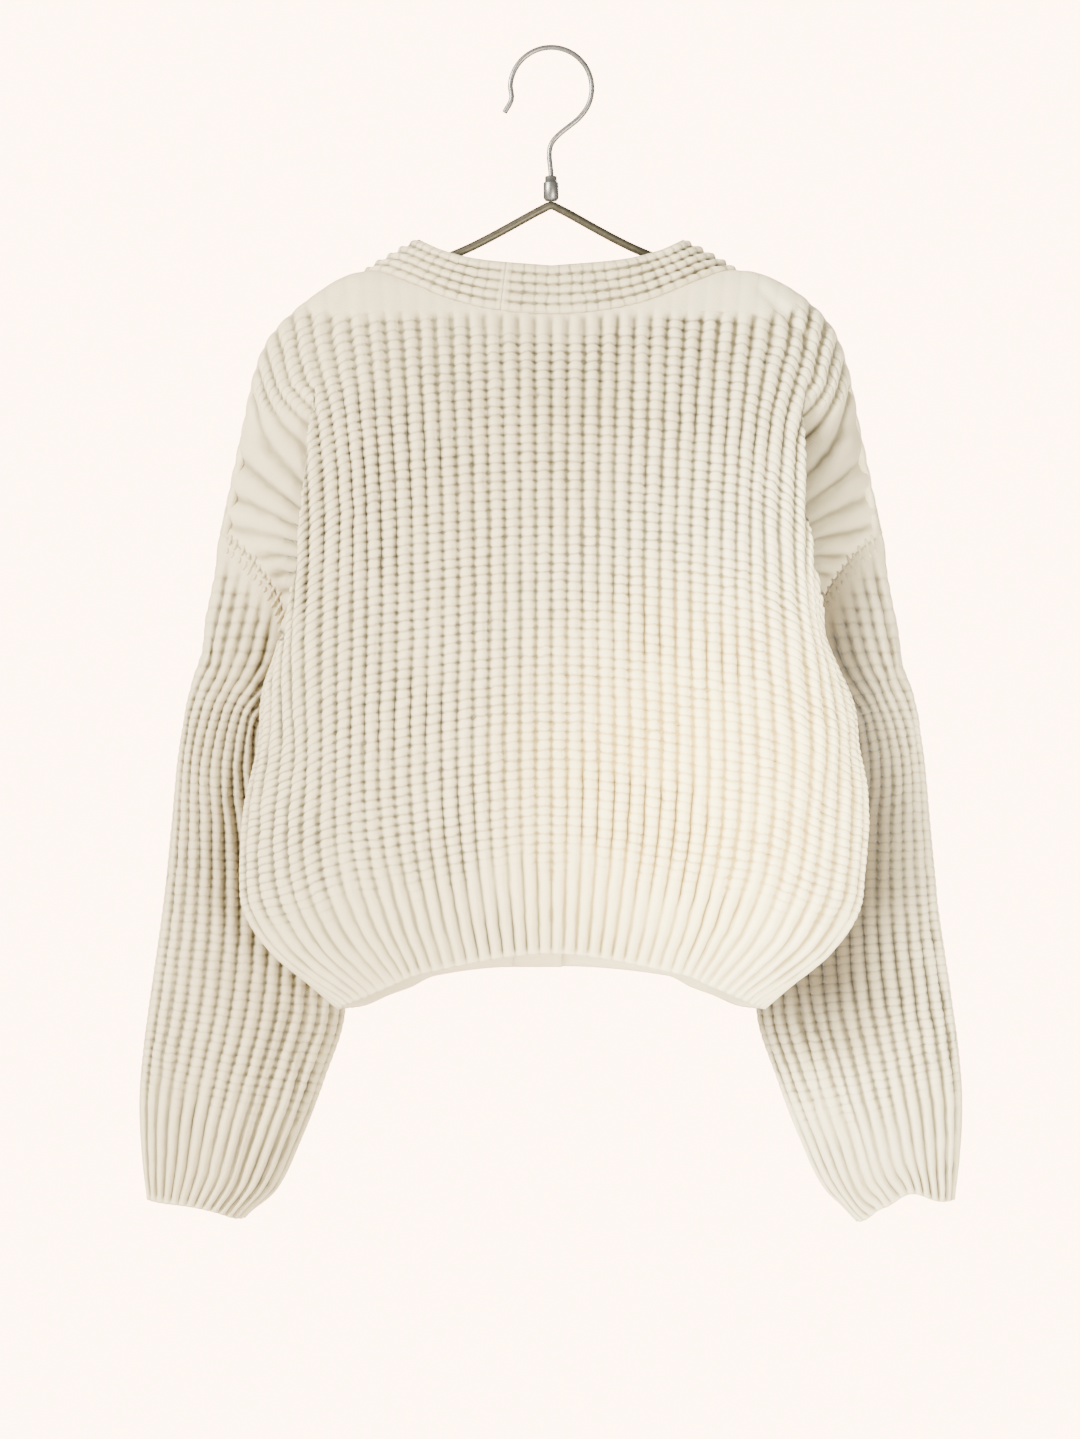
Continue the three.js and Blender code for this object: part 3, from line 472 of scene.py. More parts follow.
# A tree with its named inputs and outputs; an input is given by its size or by the kind of its socket.
def newTree(name, kind, inputs, outputs):
    tree = bpy.data.node_groups.new(name, kind)

    def addSocket(label, side, value):
        socketType = "NodeSocket" + {float: "Float", int: "Int"}.get(type(value), value)
        socket = tree.interface.new_socket(label, in_out=side, socket_type=socketType)
        if not isinstance(value, str):
            socket.default_value = value

    for label, value in inputs.items():
        addSocket(label, "INPUT", value)
    for label in outputs:
        addSocket(label, "OUTPUT", label if label == "Geometry" else 0.0)
    given, result = tree.nodes.new("NodeGroupInput").outputs, tree.nodes.new("NodeGroupOutput").inputs
    return tree, lambda label: Amount(given[label]), lambda label, value: feed(result[label], value)


def geometryTree(name, **inputs):
    inputs = {asWords(label): value for label, value in inputs.items()}
    return newTree(name, "GeometryNodeTree", {"Geometry": "Geometry", **inputs}, ["Geometry"])


def named(tree, label, kind="FLOAT"):
    return made(tree, "GeometryNodeInputNamedAttribute", {"Name": label}, "Attribute", data_type=kind)


def finishTree(tree, geometry, material, give):
    geometry = made(tree, "GeometryNodeRealizeInstances", {"Geometry": geometry})
    give("Geometry", made(tree, "GeometryNodeSetMaterial", {"Geometry": geometry, "Material": material}))


# The knitted relief: valleys between the ribs, row lines across them and a hole where they meet.
def makeReliefTree():
    tree, given, give = geometryTree("knittedRelief", ribDepth=0.003, rowDepth=0.0006, holeDepth=0.0016,
                                     valleyWidth=5.0, wobble=0.0005, seed=3.0, yarn="Material")
    ribs, rows = named(tree, "ribs"), named(tree, "rows")
    position = made(tree, "GeometryNodeInputPosition", {})
    uneven = noise(position, "4D", W=given("Seed"), Scale=55, Detail=1) - 0.5
    ribWave = wave(named(tree, "rib") + uneven * (ribs * 0.35))
    rowWave = wave(named(tree, "row") + uneven * 0.5)
    valley = ribWave ** given("Valley Width")
    ribPart = valley * given("Rib Depth") * ribs + ribWave ** 2.0 * 0.0006 * ribs
    linePart = (1.0 - valley * 0.6) * rowWave ** 6.0 * given("Row Depth") * rows
    holePart = valley * rowWave ** 2.5 * given("Hole Depth") * rows
    depth = ribPart + linePart + (holePart - uneven * given("Wobble") * ribs)
    facing = named(tree, "facing", "FLOAT_VECTOR")
    offset = made(tree, "ShaderNodeVectorMath", {0: facing, "Scale": depth * -1.0}, operation="SCALE")
    moved = made(tree, "GeometryNodeSetPosition", {"Geometry": given("Geometry"), "Offset": offset})
    finishTree(tree, moved, given("Yarn"), give)
    return tree


def plainMesh(piece):
    return bpy.data.meshes.new_from_object(piece.evaluated_get(bpy.context.evaluated_depsgraph_get()))


# Runs a tree on a piece with its own sizes and leaves a plain mesh.
def grown(piece, tree, **sizes):
    modifier = piece.modifiers.new(tree.name, "NODES")
    modifier.node_group = tree
    ids = {i.name: i.identifier for i in tree.interface.items_tree if i.in_out == "INPUT"}
    for label, value in sizes.items():
        modifier[ids[asWords(label)]] = value
    mesh = plainMesh(piece)
    piece.modifiers.clear()
    piece.data = mesh
    mesh.name = piece.name
    return piece


def principled(name, **constants):
    material = bpy.data.materials.new(name)
    material.use_nodes = True
    shader = material.node_tree.nodes["Principled BSDF"]
    for label, value in constants.items():
        shader.inputs[asWords(label)].default_value = value
    return material, material.node_tree, shader.inputs


def objectPlace(tree):
    return made(tree, "ShaderNodeTexCoord", {}, "Object")


def colourMix(amount, low, high, blend="MIX"):
    sockets = {0: amount, 6: low, 7: high}
    return made(amount.tree, "ShaderNodeMix", sockets, 2, data_type="RGBA", blend_type=blend)


def bump(height, distance, strength, **under):
    return made(height.tree, "ShaderNodeBump",
                {"Strength": strength, "Distance": distance, "Height": height, **under}, "Normal")


# Fine fibres, and plies that lean the two ways of a stitch on either half of a rib.
def makeFibreGroup():
    inputs = {"Rib": 0.0, "Row": 0.0, "Ply": 0.5, "Fuzz": 0.5}
    tree, given, give = newTree("yarnFibre", "ShaderNodeTree", inputs, ["Height", "Mottle"])
    where = objectPlace(tree)
    fine = noise(where, Scale=900.0, Detail=3.0, Roughness=0.65)
    strand = noise(where, Scale=260.0, Detail=2.0, Roughness=0.5)
    broad = noise(where, Scale=24.0, Detail=2.0, Roughness=0.5)
    half = calc("ABSOLUTE", calc("FRACT", given("Rib")) - 0.5)
    ply = calc("SINE", (given("Row") + half * 1.5) * (2 * math.pi * 3)) * given("Ply")
    give("Height", ply * 0.25 + (fine + strand) * given("Fuzz"))
    give("Mottle", broad * 0.7 + strand * 0.3)
    return tree


# Where the stitches' valleys, holes and row lines lie, for their painted shade and for fine height.
def makeStitchGroup():
    tree, given, give = newTree(
        "stitchPattern", "ShaderNodeTree", {"Rib": 0.0, "Row": 0.0, "Ribs": 1.0, "Rows": 1.0, "Uneven": 0.3},
        ["Valley", "Hole", "Line", "Cleft", "Height"])
    where = objectPlace(tree)
    drift = (noise(where, Scale=85.0, Detail=1.0) - 0.5) * given("Uneven")
    patch = noise(where, Scale=38.0, Detail=1.0)
    streak = noise(where, Scale=17.0, Detail=2.0)
    closed = noise(where, Scale=11.0, Detail=2.0)
    ribWave = wave(given("Rib") + drift * 0.35)
    rowWave = wave(given("Row") + drift)
    narrow = ribWave ** 7.0
    valley = clamped(narrow * (streak * 1.7 + 0.1)) * given("Ribs")
    hole = clamped(narrow * rowWave ** 2.5 * given("Rows") * (patch * 1.5 + 0.2))
    line = clamped(rowWave ** 14.0 * given("Rows") * (patch * 1.2 + 0.1))
    give("Valley", valley)
    give("Hole", hole)
    give("Line", line)
    # here and there a valley closes to a thin line, painted dark as deep shade
    give("Cleft", ribWave ** 70.0 * given("Ribs") * clamped((closed - 0.53) * 9.0))
    give("Height", 1.0 - (valley * 0.5 + (line * 0.45 + hole)))
    return tree


# The yarn's colours, with painted light: dull on the left to bright on the right, and a warm pool of light
# low on the back.
yarnLook = {
    "crest": (0.65, 0.55, 0.345, 1), "light": (0.76, 0.67, 0.46, 1),
    "paintedLitCrest": (0.88, 0.78, 0.5, 1), "paintedLitPale": (0.97, 0.9, 0.66, 1), "paintedLightFrom": -0.04,
    "paintedLightTo": 0.2,
    # valley, hole and the thin dark lines are painted shade colours between the stitches
    "valley": (0.27, 0.235, 0.14, 1), "hole": (0.16, 0.138, 0.078, 1), "cleftShade": (0.035, 0.03, 0.02, 1),
    "warm": (1.0, 0.9, 0.5, 1), "paintedPoolValley": (0.58, 0.42, 0.14, 1), "paintedPoolAt": (0.12, -0.12, -0.53),
    # 'tucked' is the painted shadow colour beside the body
    "paintedPoolReach": 0.19, "tucked": (0.07, 0.055, 0.04, 1), "fibreBump": 0.0004, "stitchBump": 0.0016,
}


def makeYarn(fibre, stitch):
    look = yarnLook
    material, tree, shader = principled("ivoryYarn", roughness=0.93, sheenWeight=0.2, sheenRoughness=0.55)
    rib, row, ribs, rows, tuck = (made(tree, "ShaderNodeAttribute", {}, "Fac", attribute_name=label)
                                  for label in ("rib", "row", "ribs", "rows", "tuck"))

    def group(inner, **inputs):
        outputs = addNode(tree, "ShaderNodeGroup", inputs, node_tree=inner).outputs
        return {output.name: Amount(output) for output in outputs}

    fibres = group(fibre, Rib=rib, Row=row, Ply=0.7, Fuzz=0.6)
    stitches = group(stitch, Rib=rib, Row=row, Ribs=ribs, Rows=rows, Uneven=0.55)
    where = objectPlace(tree)
    mottle = clamped(fibres["Mottle"] * 1.3)
    x = made(tree, "ShaderNodeSeparateXYZ", {0: where}, "X")
    # painted light: the yarn's colour grows brighter from left to right
    span = {"Value": x, "From Min": look["paintedLightFrom"], "From Max": look["paintedLightTo"]}
    paintedLightRightward = made(tree, "ShaderNodeMapRange", span, "Result", interpolation_type="SMOOTHSTEP")
    base = colourMix(paintedLightRightward, colourMix(mottle, look["crest"], look["light"]),
                     colourMix(mottle, look["paintedLitCrest"], look["paintedLitPale"]))
    # a painted pool of warm light round one place low on the back, kept off the painted shadow
    away = made(tree, "ShaderNodeVectorMath", {0: where, 1: look["paintedPoolAt"]}, "Value", operation="DISTANCE")
    paintedPool = clamped(1.0 - away / look["paintedPoolReach"])
    paintedPool = clamped(paintedPool * 1.35) * clamped(1.0 - tuck)
    base = colourMix(paintedPool * 0.8, base, look["warm"])
    # painted shade colours for the valleys and holes, warmer inside the painted pool of light
    valleyShadeColour = colourMix(clamped(paintedPool * 1.5), look["valley"], look["paintedPoolValley"])
    holeShadeColour = colourMix(clamped(paintedPool * 1.3), look["hole"], look["paintedPoolValley"])
    # painted shade: valleys, row lines, holes and thin dark lines are coloured darker where shade falls
    # between the stitches
    colour = colourMix(clamped(stitches["Valley"] + stitches["Line"] * 0.7), base, valleyShadeColour)
    colour = colourMix(stitches["Hole"] * 0.8, colour, holeShadeColour)
    colour = colourMix(stitches["Cleft"] * 0.85, colour, look["cleftShade"])
    # painted shadow: yarn beside the body is multiplied towards the dark 'tucked' colour
    feed(shader["Base Color"], colourMix(tuck, colour, look["tucked"], "MULTIPLY"))
    coarse = bump(stitches["Height"], look["stitchBump"], 1.0)
    feed(shader["Normal"], bump(fibres["Height"], look["fibreBump"], 0.5, Normal=coarse))
    return material


# A hard material: one grain moves its colour between two and makes it rougher; a metal's grain is also felt.
def makeHard(name, low, high, roughness, grain, **constants):
    material, tree, shader = principled(name, **constants)
    grain = noise(objectPlace(tree), **grain)
    feed(shader["Base Color"], colourMix(grain, low, high))
    feed(shader["Roughness"], grain * 0.15 + roughness)
    if "metallic" in constants:
        feed(shader["Normal"], bump(grain, 0.0002, 0.25))
    return material


yarn = makeYarn(makeFibreGroup(), makeStitchGroup())
steelGrain = {"Scale": 300.0, "Detail": 4.0, "Roughness": 0.6}
armSteel = makeHard("darkArmSteel", (0.05, 0.047, 0.034, 1), (0.12, 0.112, 0.085, 1), 0.42, steelGrain,
                    metallic=0.85)
hookSteel = makeHard("greyHookSteel", (0.13, 0.135, 0.14, 1), (0.26, 0.265, 0.27, 1), 0.32, steelGrain,
                     metallic=0.85)
horn = makeHard("creamHorn", (0.62, 0.5, 0.36, 1), (0.84, 0.76, 0.62, 1), 0.3,
                {"Scale": 140.0, "Detail": 3.0, "Distortion": 1.2}, coatWeight=0.3, coatRoughness=0.25)
relief = makeReliefTree()
print("materials and trees made")

# the body panels
bodyKnit = {"ribDepth": 0.0031, "rowDepth": 0.0006, "holeDepth": 0.0014, "valleyWidth": 5.0, "wobble": 0.0007}
bodyFade = {"hem": 8, "hemOver": 5, "top": 1.2, "topOver": 2.5, "seam": 0.8, "roll": 0.7, "drapeRibs": 0.1}


# Points, facings, steps away from the seams, ribs and rows of one panel, from one side edge to the other.
def panelGrid(face, columns, tops):
    surfaces = backSurface if face == "back" else frontSurface
    downs = np.linspace(0, 1, knit["bodyRows"] * knit["steps"] + 1)
    little, lower = 0.2, 0.003
    grid = []
    for (side, rib), top in zip(columns, tops):
        at = surfaces[side]
        d = np.maximum(downs, top)
        p = at(rib, d)
        ribward = at(rib + little, d) - at(max(rib - little, 0), d)
        downward = at(rib, np.minimum(d + lower, 1)) - at(rib, np.maximum(d - lower, 0))
        turn = side if face == "back" else -side
        step = np.zeros_like(p)
        step[d <= top] = unit(downward)[d <= top]
        step[0], step[-1] = unit(downward)[0], -unit(downward)[-1]
        if rib == 0:
            step += unit(ribward)
        grid.append((p, unit(np.cross(ribward, downward) * turn), step))
    points, facing, inward = (np.stack(v, 1) for v in zip(*grid))
    ribs = np.tile([rib for _, rib in columns], (len(downs), 1))
    rows = np.tile((1 - downs[:, None]) * knit["bodyRows"], (1, len(columns)))
    tops = np.array(tops)[None]
    return points, facing, inward, ribs, rows, (np.maximum(downs[:, None], tops) - tops) * knit["bodyRows"]


# Soft uneven steps along a row of columns, so that rows fade out at uneven heights.
def unevenly(ribs, amount):
    return amount * (np.sin(2.1 * ribs) + 0.7 * np.sin(5.3 * ribs + 1) + 0.5 * np.sin(0.7 * ribs + 2))


# The rows fade into plain ribs above the hem and into smooth knitting under the shoulder.
def bodyWeights(rows, fromTop, ribs):
    fade = bodyFade
    aboveHem = rows + unevenly(ribs, 0.9) - fade["hem"]
    plain = smooth(aboveHem / fade["hemOver"]) * smooth((fromTop - fade["top"]) / fade["topOver"])
    ribWeight = (0.3 + 0.7 * smooth(fromTop / fade["seam"])) * (0.25 + 0.75 * smooth(rows / fade["seam"]))
    return ribWeight * smooth(ribs / fade["seam"]), plain * smooth(ribs / fade["seam"])


# Above this line, given as (x, z), the shoulders are knitted plain; on the front the plain strip is narrower.
yoke = {"line": [(0, -196), (150, -197), (172, -194), (190, -180), (240, -180)],
        "frontRise": 16, "soft": 7, "ribs": 0.88}


def plainYoke(weights, points, rise=0):
    x, y, z = xyz(points)
    plain = smooth((z - rise - np.interp(np.abs(x), *np.array(yoke["line"], float).T)) / yoke["soft"])
    return weights[0] * (1 - yoke["ribs"] * plain), weights[1] * (1 - plain)


# The knitting rolls in a little along its seams.
def seamRoll(points, facing, fromTop, edges):
    roll = bell(fromTop, 0.35)
    for fromEdge in edges:
        roll = np.maximum(roll, bell(fromEdge, 0.22))
    return points - facing * (roll * bodyFade["roll"])[..., None]


sixths = 1 / knit["columns"]
backColumns = [(-1, c * sixths) for c in range(ribAt["centre"] * knit["columns"])]
backColumns += [(1, c * sixths) for c in range(ribAt["centre"] * knit["columns"], -1, -1)]
p, n, inward, ribs, rows, fromTop = panelGrid("back", backColumns, [backTop(r) for _, r in backColumns])
weights = bodyWeights(rows, fromTop, ribs)
p = seamRoll(creased(swollen(p, ribs), n, "back"), n, fromTop, [ribs])
# painted shadow on the back where it drapes past the fold, fading away from it, stronger on the right
draped, tuck = 0, 0
for side, share in ((-1, 1), (1, paintedShadeBeside["drapeRight"])):
    outside, ends = besideFold(side, p)
    draped = np.maximum(draped, (outside > 1.5) * ends)
    fading = np.exp(-np.maximum(outside, 0) / paintedShadeBeside["drape"])
    tuck = np.maximum(tuck, share * paintedShadeBeside[side] * (outside > 1) * ends * fading)
weights = (weights[0] * (1 - bodyFade["drapeRibs"] * draped), weights[1] * (1 - smooth(draped * 1.5)))
weights = plainYoke(weights, p)
p, ribs = foldedBack(p, n, ribs)
back = knitted("backPanel", bodyKnit, p, n, inward, ribs, rows, weights, tuck, wall=knit["backWall"])
print("back made", len(back.data.vertices))

fronts = {}
for label, side in sides.items():
    bandRib = band["rib"][side]
    columns = [(side, c * sixths) for c in range(bandRib * knit["columns"] + 1)]
    tops = [frontTop(rib, bandRib) for _, rib in columns]
    p, n, inward, ribs, rows, fromTop = panelGrid("front", columns, tops)
    weights = plainYoke(bodyWeights(rows, fromTop, ribs), p, yoke["frontRise"])
    p = seamRoll(creased(p, n, "front"), n, fromTop, [ribs, bandRib - ribs])
    # painted shadow on the front near its side seam, at the fold's height
    tuck = paintedShadeBeside[side] * paintedShadeBeside["front"] * bell(ribs, paintedShadeBeside["frontRibs"]) * besideFold(side, p)[1]
    fronts[label] = knitted("frontPanel" + label, bodyKnit, p, n, inward, ribs, rows, weights, tuck,
                            turned=side < 0)
print("fronts made")


# The points at shares of the way round an ellipse, measured along its edge.
def ellipsePoints(halfWidth, halfDepth, shares):
    angle = np.linspace(0, 2 * math.pi, 721)
    line = np.stack([halfWidth * np.cos(angle), halfDepth * np.sin(angle)], -1)
    run = runOf(line)
    return (np.interp((shares % 1) * run[-1], run, line[:, k]) for k in range(2))


def armholeEdge(side, columns):
    starts = np.concatenate([[0], np.cumsum(armholeSteps)])
    onBack = columns <= sleeveRibs
    down = np.interp(np.where(onBack, columns, 2 * sleeveRibs - columns), starts, bodyShares)
    return np.where(onBack[:, None], backSurface[side](0, down), frontSurface[side](0, down))


def sleeveGrid(side):
    columns = np.linspace(0, 2 * sleeveRibs, sleeveRibs * knit["columns"] + 1)
    onBack = columns <= sleeveRibs
    rings = [armholeEdge(side, columns)]
    for z, x, halfWidth, y, halfDepth, turn, lean, under in sleeveRings:
        half = columns / sleeveRibs
        share = np.where(onBack, half * under, under + (half - 1) * (1 - under))
        u, w = ellipsePoints(halfWidth, halfDepth, 1 - share)
        turn, lean = math.radians(turn), math.radians(lean)
        out = u * math.cos(turn) + w * math.sin(turn)
        rings.append(np.stack([side * (x + out * math.cos(lean)), y - u * math.sin(turn) + w * math.cos(turn),
                               z + out * math.sin(lean)], -1))
    rings = np.array(rings)
    stations = np.concatenate([[0], np.cumsum(lengthOf(np.diff(rings, axis=0)).mean(axis=1)[:, 0])])
    at = np.linspace(0, stations[-1], knit["sleeveRows"] * knit["steps"] + 1)
    points = along(stations, rings, at)
    around = np.roll(points[:, :-1], -1, axis=1) - np.roll(points[:, :-1], 1, axis=1)
    around = np.concatenate([around, around[:, :1]], 1)
    downward = np.gradient(points, axis=0)
    inward = np.zeros_like(points)
    inward[0], inward[-1] = unit(downward[0]), -unit(downward[-1])
    # near the armhole the ribs hang level with the sleeve's outer line; lower down they follow its columns
    x, y, z = xyz(points)
    hanging = (np.interp(-z, -z[:, 0], side * x[:, 0]) - side * x) / sleeveTop["pitch"]
    hanging = np.where(onBack, hanging, sleeveRibs - hanging)
    settled = smooth((sleeveTop["z"] - z) / sleeveTop["height"])
    ribs = hanging * (1 - settled) + (columns / 2) * settled
    rows = np.tile((knit["sleeveRows"] - np.arange(len(at)) / knit["steps"])[:, None], (1, len(columns)))
    level = np.interp(-z, -z[:, 0], rows[:, 0])
    return (points, unit(np.cross(around, downward) * side), inward, ribs,
            level * (1 - settled) + rows * settled, knit["sleeveRows"] - rows)


# Both cuffs' edges are a little wavy: at x, over a width, an edge rises by so much (or hangs, if negative).
cuffWaves = {1: [(262, 17, 12), (226, 10, -4), (240, 6, 2)], -1: [(-262, 22, 2.5), (-231, 9, -2)], "rows": 9}
sleeveKnit = {**bodyKnit, "ribDepth": 0.0027}
sleeveFade = {"top": 3, "cuff": 10, "cuffOver": 6, "rows": 0.6, "roll": 0.6}

sleeves = {}
for label, side in sides.items():
    p, n, inward, ribs, rows, fromTop = sleeveGrid(side)
    ribWeight = 0.05 + 0.95 * smooth((fromTop - 0.3) / sleeveFade["top"])
    ribWeight = ribWeight * (0.25 + 0.75 * smooth(rows / 0.8))
    aboveCuff = smooth((rows + unevenly(ribs, 1.2) - sleeveFade["cuff"]) / sleeveFade["cuffOver"])
    rowWeight = sleeveFade["rows"] * aboveCuff * smooth((fromTop - 1) / 2)
    p = creased(p, n, "sleeve")
    p = p - n * (bell(fromTop, 0.4) * sleeveFade["roll"])[..., None]
    for x, width, rise in cuffWaves[side]:
        p[..., 2] += rise * bell(p[..., 0] - x, width) * smooth(1 - rows / cuffWaves["rows"])
    # the sleeves take painted shadow beside the body
    sleeves[label] = knitted("sleeve" + label, sleeveKnit, p, n, inward, ribs, rows, (ribWeight, rowWeight),
                             paintedShadeAt(side, p, n), wraps=True, turned=side < 0)
print("sleeves made")

# Short loops of yarn along the armhole seams: their size, how far apart and from the ends, and the steps down
# the sleeve where they lie, each with its share of the proudness.
seamStitch = {"length": 7.0, "thick": 1.25, "proud": 0.3, "apart": 6.2, "fromEnd": 10,
              "levels": {0: 1, 3: 0.4}}


# A bead of yarn on each point, turned along its heading.
def makeLoopTree():
    tree, given, give = geometryTree("yarnLoops", length=0.005, thick=0.0015, spread=0.45, seed=4,
                                     yarn="Material")
    bead = made(tree, "GeometryNodeMeshUVSphere", {"Segments": 10, "Rings": 7, "Radius": 1.0}, "Mesh")
    bead = made(tree, "GeometryNodeSetShadeSmooth", {"Geometry": bead})
    heading, facing = (named(tree, label, "FLOAT_VECTOR") for label in ("heading", "facing"))
    turn = made(tree, "FunctionNodeAxesToRotation", {"Primary Axis": heading, "Secondary Axis": facing},
                primary_axis="X", secondary_axis="Z")
    vary = addNode(tree, "FunctionNodeRandomValue",
                   {"Min": 1.0 - given("Spread"), "Max": given("Spread") + 1.0, "Seed": given("Seed")},
                   data_type="FLOAT")
    amount = Amount(next(o for o in vary.outputs if o.enabled))
    size = made(tree, "ShaderNodeCombineXYZ",
                {"X": given("Length") * 0.5 * amount, "Y": given("Thick"), "Z": given("Thick")})
    loops = made(tree, "GeometryNodeInstanceOnPoints",
                 {"Points": given("Geometry"), "Instance": bead, "Rotation": turn, "Scale": size})
    finishTree(tree, loops, given("Yarn"), give)
    return tree


loopTree = makeLoopTree()
seamLoops = {}
for label, side in sides.items():
    columns = np.linspace(0, 2 * sleeveRibs, 400)
    run = runOf(armholeEdge(side, columns))
    at = np.arange(seamStitch["fromEnd"], run[-1] - seamStitch["fromEnd"], seamStitch["apart"])
    p, n = sleeveGrid(side)[:2]
    places, headings, facings = [], [], []
    for column in np.interp(at, run, columns) * knit["columns"] / 2:
        c = int(round(column)) % (p.shape[1] - 1)
        for level, proud in seamStitch["levels"].items():
            facings.append(n[level + 1, c])
            headings.append(unit(p[level + 2, c] - p[level, c]))
            places.append(p[level, c] + facings[-1] * seamStitch["proud"] * proud)
    name = "armholeSeam" + label
    mesh = meshOf(name, places)
    addAttribute(mesh, "heading", headings)
    addAttribute(mesh, "facing", facings)
    # the seam loops take the same painted shadow
    addAttribute(mesh, "tuck", paintedShadeAt(side, np.array(places), np.array(facings)))
    seamLoops[label] = grown(placed(name, mesh), loopTree, length=seamStitch["length"] * mm,
                             thick=seamStitch["thick"] * mm, yarn=yarn)
print("seam stitches made")

# the neck and front band
bandKnit = {"ribDepth": 0.0015, "rowDepth": 0.0007, "holeDepth": 0.0014, "valleyWidth": 3.0, "wobble": 0.0005}
bandCrown = {"rise": 0.8, "fall": 2.2, "endFade": 0.8, "edgeFade": 0.4, "inward": 0.6}


def edgeAt(table, station, side):
    table = np.array(table, float)
    return along(table[:, 0], table[:, 1:], station)[0] * (side, 1, 1)


# The band's seam and free edge, from behind the neck down to the hem. Below the tables the band stays square
# to its seam, facing the way the front does.
def bandLines(side):
    bandRib = band["rib"][side]
    at, fine, neck, centre = frontSurface[side], band["fine"], ribAt["neck"], ribAt["centre"]
    behind = [(-1, rib) for rib in np.arange(band["joinRib"], centre, fine)] if side > 0 else []
    start = centre if side > 0 else band["joinRib"]
    behind += [(side, rib) for rib in np.arange(start, neck - fine / 2, -fine)]
    ahead = [(rib, frontTop(rib, bandRib)) for rib in np.arange(neck + fine, bandRib + fine / 2, fine)]
    ahead += [(bandRib, down) for down in np.linspace(neckPoint["down"], 1, band["edgePlaces"])[1:]]
    seam = np.array([backSurface[which](rib, backTop(rib))[0] for which, rib in behind]
                    + [at(rib, down)[0] for rib, down in ahead])
    edge = [edgeAt(neckEdgeBack, rib, which) for which, rib in behind]
    shares = [(rib - neck) / (bandRib - neck) for rib, _ in ahead]
    edge += [edgeAt(neckEdgeFront, share, side) for share in shares if share <= neckEdgeFront[-1][0]]
    line, low = unit(np.gradient(seam, axis=0)), len(edge)
    for i, (rib, down) in enumerate(ahead[low - len(behind):], low):
        across = at(rib, down)[0] - at(rib - 0.3, down)[0]
        downward = at(rib, min(down + 0.004, 1))[0] - at(rib, down - 0.004)[0]
        facing = unit(np.cross(across, downward) * -side)
        edge.append(seam[i] + unit(np.cross(facing, line[i]) * side) * band["width"])
    edge = np.array(edge)
    for _ in range(band["easeTurns"]):  # an eased turn at the point of the V
        edge[low:-1] = (edge[low - 1:-2] + 2 * edge[low:-1] + edge[low + 1:]) / 4
    return seam, edge


def bandGrid(side):
    seam, edge = bandLines(side)
    run = runOf((seam + edge) / 2)
    stitches = int(round(run[-1] / band["stitch"]))
    to = np.linspace(0, run[-1], stitches * knit["steps"] + 1)
    seam, edge = (np.stack([np.interp(to, run, v[:, k]) for k in range(3)], -1) for v in (seam, edge))
    across = np.linspace(0, 1, band["ridges"] * knit["columns"] + 1)
    points = seam[:, None] * (1 - across[None, :, None]) + edge[:, None] * across[None, :, None]
    alongBand = np.gradient(seam, axis=0) + np.gradient(edge, axis=0)
    faced = unit(np.cross(alongBand, edge - seam) * side)
    over = band["easeOver"]
    faced = [np.convolve(np.pad(v, over // 2, mode="edge"), np.ones(over) / over, "valid") for v in faced.T]
    facing = np.repeat(unit(np.stack(faced, -1))[:, None], len(across), axis=1)
    inward = np.zeros_like(points)
    inward[0], inward[-1] = unit(alongBand[0]), -unit(alongBand[-1])
    inward[:, 0] += unit(edge - seam)
    inward[:, -1] -= unit(edge - seam)
    ribs = np.tile(across * band["ridges"], (len(to), 1))
    rows = np.tile((np.arange(len(to)) / knit["steps"])[:, None], (1, len(across)))
    return points, facing, inward, ribs, rows, stitches


bands = {}
for label, side in sides.items():
    p, n, inward, ribs, rows, stitches = bandGrid(side)
    edgeFade = smooth(np.minimum(rows, stitches - rows) / bandCrown["endFade"])
    acrossFade = smooth(np.minimum(ribs, band["ridges"] - ribs) / bandCrown["edgeFade"])
    # a soft crown from seam to free edge
    crown = (ribs / band["ridges"] - 0.5) ** 2 * 4
    p = p + n * (bandCrown["rise"] - bandCrown["fall"] * crown ** 3)[..., None]
    weights = (0.25 + 0.75 * edgeFade * acrossFade, edgeFade * acrossFade)
    inward = inward * bandCrown["inward"]
    bands[label] = knitted("frontBand" + label, bandKnit, p, n, inward, ribs, rows + 0.5, weights,
                           turned=side < 0, wall=band["wall"])
print("bands made")

# buttons, each at the frame's place
button = {"radius": 11, "thickness": 5, "dish": 1.3, "rim": 2.2, "holeSpread": 2.3, "segments": 48,
          "thread": 0.5, "threadRise": 0.9, "threadApart": 0.45}


# A turned piece from a profile of (radius, height), standing along y or z.
def lathe(name, profile, segments, centre, axis):
    angles = np.linspace(0, 2 * math.pi, segments, endpoint=False)
    rings, points, faces = [], [], []
    for r, h in profile:
        ring = [(0, 0, h)] if r == 0 else [(r * math.cos(a), r * math.sin(a), h) for a in angles]
        rings.append([len(points) + i % len(ring) for i in range(segments + 1)])
        points += ring
    for a, b in zip(rings, rings[1:]):
        for i in range(segments):
            corners = (a[i], a[i + 1], b[i + 1], b[i])
            faces.append(tuple(dict.fromkeys(corners)))
    points = np.array(points, float)
    if axis == "y":
        points = points[:, [0, 2, 1]] * np.array([-1, 1, 1])
    mesh = meshOf(name, points + np.array(centre), (), faces)
    turned = bmesh.new()
    turned.from_mesh(mesh)
    bmesh.ops.recalc_face_normals(turned, faces=turned.faces)
    turned.to_mesh(mesh)
    turned.free()
    mesh.shade_smooth()
    return placed(name, mesh)


